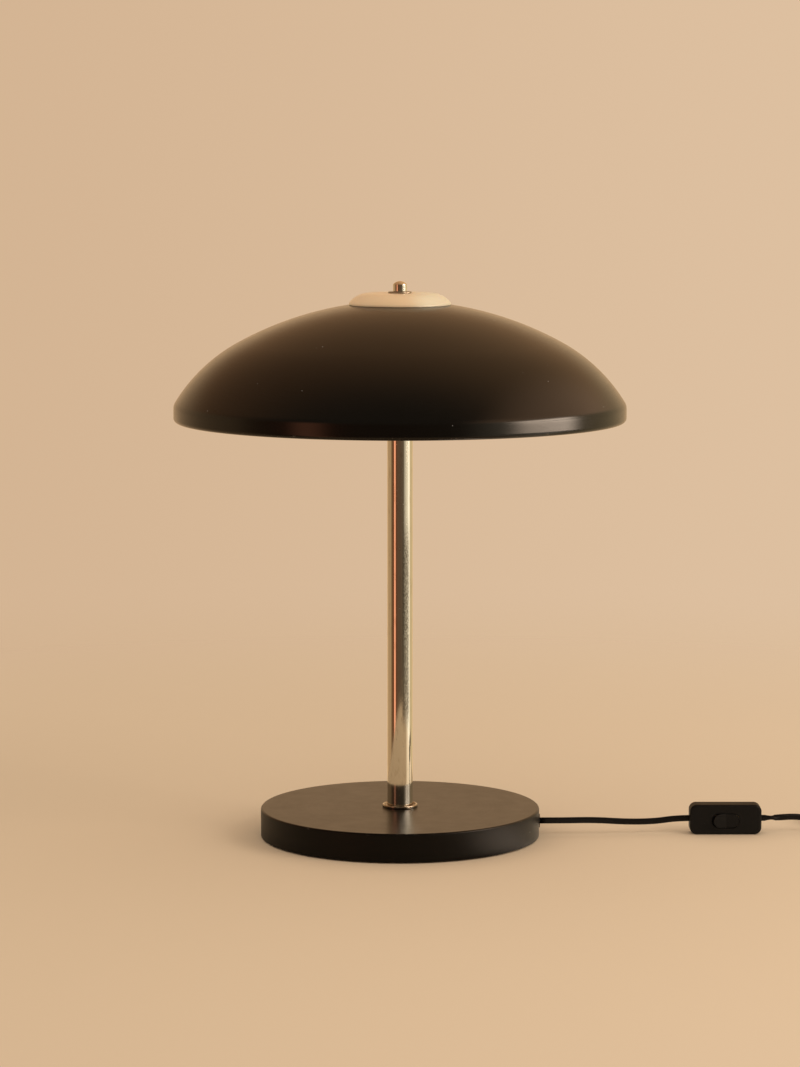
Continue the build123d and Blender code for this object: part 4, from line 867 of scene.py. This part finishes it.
def make_shade(outside_finish, inside_finish):
    """The dome of thin sheet, black outside and white inside, with a rolled edge."""
    outside, inside = [], []
    for middle, radius, start, end, count in shade_arcs():
        outer_arc = arc(middle, radius, start, end, count)
        inner_arc = arc(middle, radius - SHADE_SHEET, start, end, count)
        if outside:
            outside += straight(outside[-1], outer_arc[0])
            inside += straight(inside[-1], inner_arc[0])
        outside += outer_arc
        inside += inner_arc
    lip = outside[-1]
    lip_inner = inside[-1]
    lip_top = lip[1] + SHADE_ROLL_LIP
    edge = straight(lip, (lip[0], lip_top), (lip_inner[0], lip_top), lip_inner)
    runs = [outside + edge, inside[::-1]]
    shade = lathe("shade_dome", runs, [outside_finish, inside_finish], LARGE_ROUND)
    dress(shade, LAMP, "black_enamel", "shade")


def make_cap(finish):
    """The shallow ivory cap: a shell with a hub that stands on the shade's crown."""
    foot = CAP_TOP - CAP_HEIGHT
    middle_height = CAP_TOP - CAP_SHOULDER_RADIUS
    end = math.acos((foot + CAP_SKIRT - middle_height) / CAP_SHOULDER_RADIUS)
    middle = (CAP_RADIUS - CAP_SHOULDER_RADIUS * math.sin(end), middle_height)
    inner = CAP_SHOULDER_RADIUS - CAP_WALL
    inner_end = math.acos((foot - middle_height) / inner)
    inner_top = CAP_TOP - CAP_WALL
    edge = (CAP_RADIUS - CAP_EDGE_ROUNDING, foot - CAP_EDGE_DROP + CAP_EDGE_ROUNDING)
    outside = [
        *straight((ROD_HOLE_RADIUS, CAP_TOP), (middle[0], CAP_TOP)),
        *arc(middle, CAP_SHOULDER_RADIUS, 0, end, 32),
        *arc(edge, CAP_EDGE_ROUNDING, QUARTER, math.pi, 5),
    ]
    inside = [
        *arc(middle, inner, inner_end, 0, 24),
        *straight((middle[0], inner_top), (CAP_HUB_RADIUS, inner_top), (CAP_HUB_RADIUS, CROWN_TOP),
                  (ROD_HOLE_RADIUS, CROWN_TOP)),
    ]
    turned("ivory_cap", outside + inside, finish, MIDDLE_ROUND, "ivory_plastic", "shade_cap")


def make_washer(finish):
    """The finial's washer, with a recess below for the knob's lip."""
    rim = WASHER_RADIUS - WASHER_EDGE
    washer = [
        *straight((WASHER_RECESS_RADIUS, WASHER_FOOT), (rim, WASHER_FOOT)),
        *arc((rim, WASHER_FOOT + WASHER_EDGE), WASHER_EDGE, math.pi, QUARTER, 5),
        *arc((rim, WASHER_TOP - WASHER_EDGE), WASHER_EDGE, QUARTER, 0, 5),
        *straight((rim, WASHER_TOP), (WASHER_BORE, WASHER_TOP), (WASHER_BORE, WASHER_RECESS_TOP)),
        (WASHER_RECESS_RADIUS, WASHER_RECESS_TOP),
    ]
    turned("washer", washer, finish, SMALL_ROUND, "bright_nickel", "finial_washer", "finial_washer")


def make_knob(finish):
    """The finial's domed nut, with a spigot and lip that hold the washer."""
    rim = KNOB_RADIUS - KNOB_ROUNDING
    dome_radius = (KNOB_RADIUS**2 + KNOB_DOME**2) / (2 * KNOB_DOME)
    dome_end = math.asin(rim / dome_radius)
    dome = arc((0, KNOB_TOP - dome_radius), dome_radius, 0, dome_end, 16)
    side_top = dome[-1][1] - KNOB_ROUNDING
    side_foot = KNOB_FOOT + KNOB_ROUNDING
    knob = [
        *dome,
        *arc((rim, side_top), KNOB_ROUNDING, dome_end, QUARTER, 5),
        *straight((KNOB_RADIUS, side_top), (KNOB_RADIUS, side_foot)),
        *arc((rim, side_foot), KNOB_ROUNDING, QUARTER, math.pi, 5),
        *straight((rim, KNOB_FOOT), (KNOB_SPIGOT_RADIUS, KNOB_FOOT), (KNOB_SPIGOT_RADIUS, KNOB_LIP_TOP)),
        (KNOB_LIP_RADIUS, KNOB_LIP_TOP),
        (KNOB_LIP_RADIUS, WASHER_FOOT),
        *straight((KNOB_BORE, WASHER_FOOT), (KNOB_BORE, KNOB_BORE_TOP)),
        (0, KNOB_BORE_TOP),
    ]
    turned("knob", knob, finish, SMALL_ROUND, "bright_nickel", "finial_knob", "finial_knob")


def bulb_wall(inset):
    """The bulb's outline from cap to tip as (radius, place along the axis), inset into the glass."""
    neck = BULB_NECK_RADIUS - inset
    globe = BULB_RADIUS - inset
    blend = BULB_BLEND + inset
    blend_out = neck + blend
    blend_at = BULB_MIDDLE - math.sqrt((globe + blend)**2 - blend_out**2)
    meet = math.pi - math.asin(blend_out / (globe + blend))
    return [
        *straight((neck, BULB_START), (neck, blend_at)),
        *arc((blend_out, blend_at), blend, -QUARTER, meet - math.pi, 10),
        *arc((0, BULB_MIDDLE), globe, meet, 0, 40),
    ]


def make_bulbs(finish):
    """The glass of the two bulbs, one to each side."""
    wall = bulb_wall(0) + bulb_wall(BULB_WALL)[::-1]
    for side, name in ((-1, "left"), (1, "right")):
        turn = Matrix.Translation((0, 0, MM * SOCKET_HEIGHT)) @ Matrix.Rotation(side * QUARTER, 4, "Y")
        turned("glass_" + name, wall, finish, SMALL_ROUND, "opal_glass", "bulb_glass_" + name, matrix=turn)


def slot_outline(inset):
    """Half of the rocker's outline from its left end to its right end, as (place, half height)."""
    end_radius = ROCKER_HEIGHT / 2 - inset
    flat = (ROCKER_LENGTH - ROCKER_HEIGHT) / 2
    left = [(-flat - end_radius * math.cos(turn), end_radius * math.sin(turn))
            for turn in spread(0, QUARTER, 14)]
    middle = [(place, end_radius) for place in spread(-flat, flat, 9)[1:-1]]
    right = [(-place, height) for place, height in reversed(left)]
    return left + middle + right


def make_rocker(finish):
    """The rocker's two facets and rounded edge, drawn level about its pin and then tilted to rest."""
    slope = math.tan(math.radians(ROCKER_TILT))
    back = (0.0, None)
    front_edge = [(ROCKER_ROUNDING * (1 - math.cos(turn)), ROCKER_ROUNDING * (1 - math.sin(turn)))
                  for turn in spread(0, QUARTER, 6)]
    made = bmesh.new()
    rings = []
    for inset, drop in [back, *front_edge]:
        upper = slot_outline(inset)
        lower = [(place, -height) for place, height in reversed(upper[1:-1])]
        ring = []
        for place, height in upper + lower:
            front = ROCKER_FRONT + abs(place) * slope
            depth = -front + drop if drop is not None else ROCKER_BACK
            ring.append(made.verts.new(metres((place, depth, height))))
        rings.append(ring)
    for ring, after in zip(rings, rings[1:]):
        band(made, ring, after)
    half = len(rings[0]) // 2 + 1
    for ring in (rings[0], rings[-1]):
        upper = ring[:half]
        lower = [upper[0], *reversed(ring[half:]), upper[-1]]
        for step in range(half - 1):
            corners = (upper[step], upper[step + 1], lower[step + 1], lower[step])
            made.faces.new(list(dict.fromkeys(corners)))
    turn = Matrix.Rotation(math.radians(ROCKER_TILT), 4, "Z")
    place = Matrix.Translation(metres(ROCKER_PIVOT))
    bmesh.ops.transform(made, matrix=place @ turn, verts=made.verts)
    dress(closed("rocker_button", made, finish), "rocker", "switch_black", "switch_rocker")


def rounded_box(near, far, low, high, radius):
    """Points round a rounded rectangle in the YZ plane, anticlockwise from its lower near corner."""
    corners = [
        ((near + radius, low + radius), math.pi),
        ((far - radius, low + radius), 1.5 * math.pi),
        ((far - radius, high - radius), 0.0),
        ((near + radius, high - radius), QUARTER),
    ]
    points = []
    for (middle_y, middle_z), start in corners:
        points += [(middle_y + radius * math.cos(turn), middle_z + radius * math.sin(turn))
                   for turn in spread(start, start + QUARTER, 6)]
    return points


def make_tie(finish):
    """A woven strap round the coil: a band with soft edges, and its free end lapped over the top."""
    low, high = TIE_THICKNESS, TIE_THICKNESS + TIE_HEIGHT
    inner = rounded_box(TIE_NEAR, TIE_FAR, low, high, TIE_CORNER)
    outer = rounded_box(TIE_NEAR - TIE_THICKNESS, TIE_FAR + TIE_THICKNESS, low - TIE_THICKNESS,
                        high + TIE_THICKNESS, TIE_CORNER + TIE_THICKNESS)
    half = TIE_WIDTH / 2
    flat = half - TIE_THICKNESS / 3
    edge_in, edge_out = TIE_EDGE_SHARES
    section = [
        (0.0, -flat), (0.0, flat), (edge_in, half), (edge_out, half),
        (1.0, flat), (1.0, -flat), (edge_out, -half), (edge_in, -half),
    ]
    made = bmesh.new()

    def row(points, aside):
        return [made.verts.new(metres((COIL_MIDDLE[0] + aside, y, z))) for y, z in points]

    rows = [row([between(a, b, share) for a, b in zip(inner, outer)], aside) for share, aside in section]
    for first, second in zip(rows, rows[1:] + rows[:1]):
        band(made, first, second)
    lap_near = TIE_NEAR + TIE_LAP_NEAR
    lap_far = TIE_FAR - TIE_LAP_FAR
    lap_low = high + TIE_THICKNESS + TIE_LAP_GAP
    lap_middle = lap_low + TIE_THICKNESS / 2
    lap_high = lap_low + TIE_THICKNESS
    lap = [
        (lap_near, lap_low), (lap_far, lap_low), (lap_far + TIE_LAP_TIP, lap_middle),
        (lap_far, lap_high), (lap_near, lap_high), (lap_near - TIE_LAP_TIP, lap_middle),
    ]
    sides = [row(lap, -half + TIE_LAP_INSET), row(lap, half - TIE_LAP_INSET)]
    band(made, *sides, smooth=False)
    for side in sides:
        made.faces.new(side)
    dress(closed("tie_band", made, finish), LAMP, "tie_strap", "cord_tie")


# Cord

def nurbs_line(points):
    """The line of a NURBS spline with these control points, in metres."""
    curve = bpy.data.curves.new("route", "CURVE")
    curve.dimensions = "3D"
    curve.resolution_u = CORD_RESOLUTION
    spline = curve.splines.new("NURBS")
    spline.points.add(len(points) - 1)
    for knot, point in zip(spline.points, points):
        knot.co = (*metres(point), 1.0)
    spline.order_u = 3
    spline.use_endpoint_u = True
    holder = stand("route", curve)
    mesh = bpy.data.meshes.new_from_object(holder)
    line = [vertex.co.copy() for vertex in mesh.vertices]
    bpy.data.objects.remove(holder)
    bpy.data.curves.remove(curve)
    bpy.data.meshes.remove(mesh)
    return line


def cord_outline():
    """The flat cord's section as (across, up) in metres: two half rounds with flats between."""
    round_radius = CORD_THICKNESS / 2
    lift = CORD_WIDTH / 2 - round_radius
    outline = []
    for side in (1, -1):
        for turn in spread(0, math.pi, 11):
            outline.append((MM * side * round_radius * math.cos(turn),
                            MM * side * (lift + round_radius * math.sin(turn))))
    return outline


def flat_cord(name, line, twist, finish):
    """A flat cord along a line, standing on edge and turned by twist(length so far)."""
    outline = cord_outline()
    made = bmesh.new()
    rings = []
    length = 0.0
    for index, point in enumerate(line):
        before = line[max(index - 1, 0)]
        after = line[min(index + 1, len(line) - 1)]
        length += (point - before).length
        heading = (after - before).normalized()
        across = heading.cross(Vector((0, 0, 1))).normalized()
        up = across.cross(heading)
        turn = Matrix.Rotation(twist(length), 3, heading)
        across, up = turn @ across, turn @ up
        rings.append([made.verts.new(point + across * side + up * lift) for side, lift in outline])
    for ring, after in zip(rings, rings[1:]):
        band(made, ring, after)
    made.faces.new(rings[0][::-1])
    made.faces.new(rings[-1])
    return closed(name, made, finish)


def coil_points():
    """Points round the coil, which steps in on its lower layer and out on its upper one.

    They go by half turns, and the last of these ends half way, where the cord leaves for the plug.
    """
    radii = []
    for turn in range(COIL_TURNS):
        radii += [(COIL_RADIUS - turn * COIL_PITCH, COIL_LOWER)] * 2
    inmost = COIL_RADIUS - COIL_TURNS * COIL_PITCH
    radii += [(inmost, COIL_LOWER), (inmost, COIL_UPPER)]
    for turn in reversed(range(COIL_TURNS)):
        radii += [(COIL_RADIUS - turn * COIL_PITCH, COIL_UPPER)] * 2
    middle_x, middle_y = COIL_MIDDLE
    reach = 1.0 / math.cos(math.pi / (2 * COIL_STEPS))
    points = []
    for half, ((start, low), (end, high)) in enumerate(zip(radii, radii[1:])):
        side = -1 if half % 2 == 0 else 1
        radius = (start + end) / 2
        shift = side * (start - radius)
        for step in range(COIL_STEPS):
            share = (step + 0.5) / COIL_STEPS
            points.append((middle_x - side * reach * radius * math.sin(math.pi * share),
                           middle_y + shift + side * reach * radius * math.cos(math.pi * share),
                           low + (high - low) * share))
    return points[:-COIL_STEPS // 2]


def no_twist(length):
    return 0.0


def half_twist(length):
    """Half a turn, eased in and out, a little way past the switch."""
    share = (length / MM - CORD_TWIST_START) / (CORD_TWIST_END - CORD_TWIST_START)
    share = min(max(share, 0.0), 1.0)
    return math.pi * share * share * (3 - 2 * share)


def make_cords(finish):
    """The cord from base to switch, and the one from switch through its coil to the plug."""
    first_line = nurbs_line(CORD_TO_SWITCH)
    first = flat_cord("cord_base_to_switch", first_line, no_twist, finish)
    dress(first, LAMP, "cord_black", "cord_to_switch")
    second_line = nurbs_line([*CORD_FROM_SWITCH, *coil_points(), *CORD_TO_PLUG])
    second = flat_cord("cord_switch_to_plug", second_line, half_twist, finish)
    dress(second, LAMP, "cord_black", "cord_from_switch", "cord_coil", "cord_to_plug")


# Stage

def floor_finish():
    """A pale floor, lighter to the right by painted light, that thins out into the backdrop and is clear from
    below.

    Polished surfaces show a smaller floor in tones of its own, a painted reflection that is darker on the
    left and lighter on the right, with a painted pool of light beside the base.
    """
    tree = material("floor")
    away = tree.distance()
    x = tree.parts()[0]
    # Painted light: the floor turns lighter to the right
    plain = tree.mix(tree.ramp(x, *FLOOR_LIGHT_SPREAD), FLOOR_SHADED, FLOOR_LIT)
    plain = tree.mix(tree.math("MULTIPLY", tree.noise(3.0), 0.04), plain, FLOOR_MOTTLE)
    # Painted reflection: the floor that polished surfaces show turns lighter to the right
    to_right = tree.ramp(tree.math("DIVIDE", x, away), *SPOT_RIGHT)
    shown = tree.mix(to_right, FLOOR_IN_METAL_SHADED, FLOOR_IN_METAL_LIT)
    # Painted pool of light beside the base, which only polished surfaces show
    glow = tree.ramp(tree.distance(LIGHT_POOL_MIDDLE), *LIGHT_POOL_RADII, 1.0, 0.0)
    shown = tree.mix(glow, shown, FLOOR_LIGHT_POOL)
    in_metal = tree.add("ShaderNodeLightPath").outputs["Is Glossy Ray"]
    surface = tree.add("ShaderNodeBsdfDiffuse", {"Color": tree.mix(in_metal, plain, shown)})
    clear = tree.add("ShaderNodeBsdfTransparent")
    plain_end = tree.ramp(away, *FLOOR_FADE)
    shown_end = tree.ramp(tree.distance(SPOT_MIDDLE), *SPOT_FADE)
    end = tree.add("ShaderNodeMix", {0: in_metal, 2: plain_end, 3: shown_end}).outputs[0]
    end = tree.math("MAXIMUM", end, tree.add("ShaderNodeNewGeometry").outputs["Backfacing"])
    blend = tree.add("ShaderNodeMixShader", {0: end, 1: surface.outputs[0], 2: clear.outputs[0]})
    tree.add("ShaderNodeOutputMaterial", {"Surface": blend.outputs[0]})
    return tree.owner


def make_floor():
    """A flat ring, open under the base, that faces up."""
    made = bmesh.new()
    for radius in (MM * BASE_RADIUS - FLOOR_LAP, FLOOR_RADIUS):
        bmesh.ops.create_circle(made, cap_ends=False, radius=radius, segments=FLOOR_ROUND)
    bmesh.ops.bridge_loops(made, edges=made.edges[:])
    made.normal_update()
    for face in made.faces:
        if face.normal.z < 0:
            face.normal_flip()
    floor = show("floor", made, floor_finish())
    floor.location.z = -FLOOR_GAP


def card_finish():
    """Bright panes with a glazing bar, fading out at the sides and the top."""
    tree = material("window_card")
    _, y, z = tree.parts()
    shown = tree.math("MULTIPLY", tree.within(y, *CARD_SIDES), tree.ramp(z, *reversed(CARD_TOP)))
    shown = tree.math("SUBTRACT", shown, tree.math("COMPARE", z, *CARD_BAR), clamp=True)
    tone = tree.mix(tree.ramp(z, *CARD_LOW), WINDOW_LOW, WINDOW_HIGH)
    glow = tree.add("ShaderNodeEmission", {"Color": tone})
    clear = tree.add("ShaderNodeBsdfTransparent")
    blend = tree.add("ShaderNodeMixShader", {0: shown, 1: clear.outputs[0], 2: glow.outputs[0]})
    tree.add("ShaderNodeOutputMaterial", {"Surface": blend.outputs[0]})
    return tree.owner


def make_window():
    """A soft window card on the right, shown by polished surfaces alone."""
    left, right = CARD_SIDES[0], CARD_SIDES[-1]
    foot, top = CARD_FOOT, CARD_TOP[-1]
    made = bmesh.new()
    corners = [(left, foot), (right, foot), (right, top), (left, top)]
    made.faces.new([made.verts.new((CARD_X, *corner)) for corner in corners])
    card = show("window_card", made, card_finish())
    card.visible_camera = False
    card.visible_diffuse = False
    card.visible_shadow = False
    card.visible_transmission = False


def room_in_metal(tree, direction):
    """What polished surfaces show: the room at eye level, its ceiling, and a far window on the right."""
    x, y, z = tree.parts(direction)
    bearing = tree.math("ARCTAN2", x, tree.math("MULTIPLY", y, -1.0))
    panorama = tree.add("ShaderNodeValToRGB", {"Fac": tree.total(0.5, (bearing, 0.5 / math.pi))})
    stops = panorama.color_ramp.elements
    stops[0].color = (*ROOM[0][1], 1.0)
    stops[-1].color = (*ROOM[-1][1], 1.0)
    for degrees, tone in ROOM[1:-1]:
        stops.new(degrees / 360 + 0.5).color = (*tone, 1.0)
    ceiling = tree.mix(tree.ramp(x, *CEILING_X), CEILING_LEFT, CEILING_RIGHT)
    ceiling = tree.mix(tree.ramp(y, *CEILING_Y), CEILING_FRONT, ceiling)
    ceiling = tree.mix(tree.ramp(x, *CEILING_SIDE_X), ceiling, CEILING_SIDE)
    room = tree.mix(tree.ramp(z, *CEILING_Z), panorama.outputs[0], ceiling)
    sides = tree.within(bearing, *[math.radians(degrees) for degrees in WINDOW_BEARINGS])
    window = tree.math("MULTIPLY", sides, tree.within(z, *WINDOW_Z))
    return tree.mix(window, room, WINDOW_FAR)


def make_world():
    """Soft even light for surfaces, a room for polished ones, and for the camera a backdrop that is lighter
    to the right by painted light.
    """
    tree = Tree(bpy.data.worlds.new("studio"))
    bpy.context.scene.world = tree.owner
    direction = tree.add("ShaderNodeTexCoord").outputs["Generated"]
    path = tree.add("ShaderNodeLightPath")
    light = tree.mix(path.outputs["Is Glossy Ray"], AMBIENT, room_in_metal(tree, direction))
    # Painted light: the backdrop turns lighter to the right
    backdrop = tree.mix(tree.ramp(tree.parts(direction)[0], *BACKDROP_X), BACKDROP_SHADED, BACKDROP_LIT)
    seen = tree.math("MAXIMUM", path.outputs["Is Camera Ray"], path.outputs["Is Transmission Ray"])
    background = tree.add("ShaderNodeBackground", {"Color": tree.mix(seen, light, backdrop), "Strength": 1.0})
    tree.add("ShaderNodeOutputWorld", {"Surface": background.outputs[0]})


def make_key_light():
    """One large soft light from the front right, which polished surfaces don't show."""
    light = bpy.data.lights.new("key", "AREA")
    light.shape = "RECTANGLE"
    light.size, light.size_y = KEY_SIZE
    light.energy = KEY_POWER
    light.color = KEY_TONE
    holder = stand("key", light)
    holder.location = KEY_PLACE
    holder.rotation_euler = (Vector(KEY_TARGET) - Vector(KEY_PLACE)).to_track_quat("-Z", "Y").to_euler()
    holder.visible_camera = False
    holder.visible_glossy = False


def make_camera():
    """A camera where the photograph's stood."""
    data = bpy.data.cameras.new("photograph")
    data.sensor_width = CAMERA_SENSOR
    data.lens = CAMERA_LENS
    camera = stand("photograph", data)
    camera.location = CAMERA_PLACE
    camera.rotation_euler = (math.radians(90 - CAMERA_PITCH), 0, 0)
    bpy.context.scene.camera = camera


def dress_cad_nodes(finishes):
    """Every CAD node takes its own slot's material."""
    for row in frame["record"]["subparts"]:
        node = frame["nodes"][row["node"]]
        node.data.materials.clear()
        node.data.materials.append(finishes[row["material_slot"]])


finishes = make_materials()
dress_cad_nodes(finishes)
make_base(finishes["black_enamel"])
make_felt(finishes["felt"])
make_stem(finishes["bright_nickel"])
make_flange(finishes["bright_nickel"])
make_shade(finishes["shade_enamel"], finishes["white_enamel"])
make_cap(finishes["ivory_plastic"])
make_washer(finishes["dull_nickel"])
make_knob(finishes["bright_nickel"])
make_bulbs(finishes["opal_glass"])
make_rocker(finishes["switch_black"])
make_tie(finishes["tie_strap"])
make_cords(finishes["cord_black"])
make_floor()
make_window()
make_world()
make_key_light()
make_camera()
bpy.context.scene.view_settings.view_transform = "Standard"

bpy.context.view_layer.update()
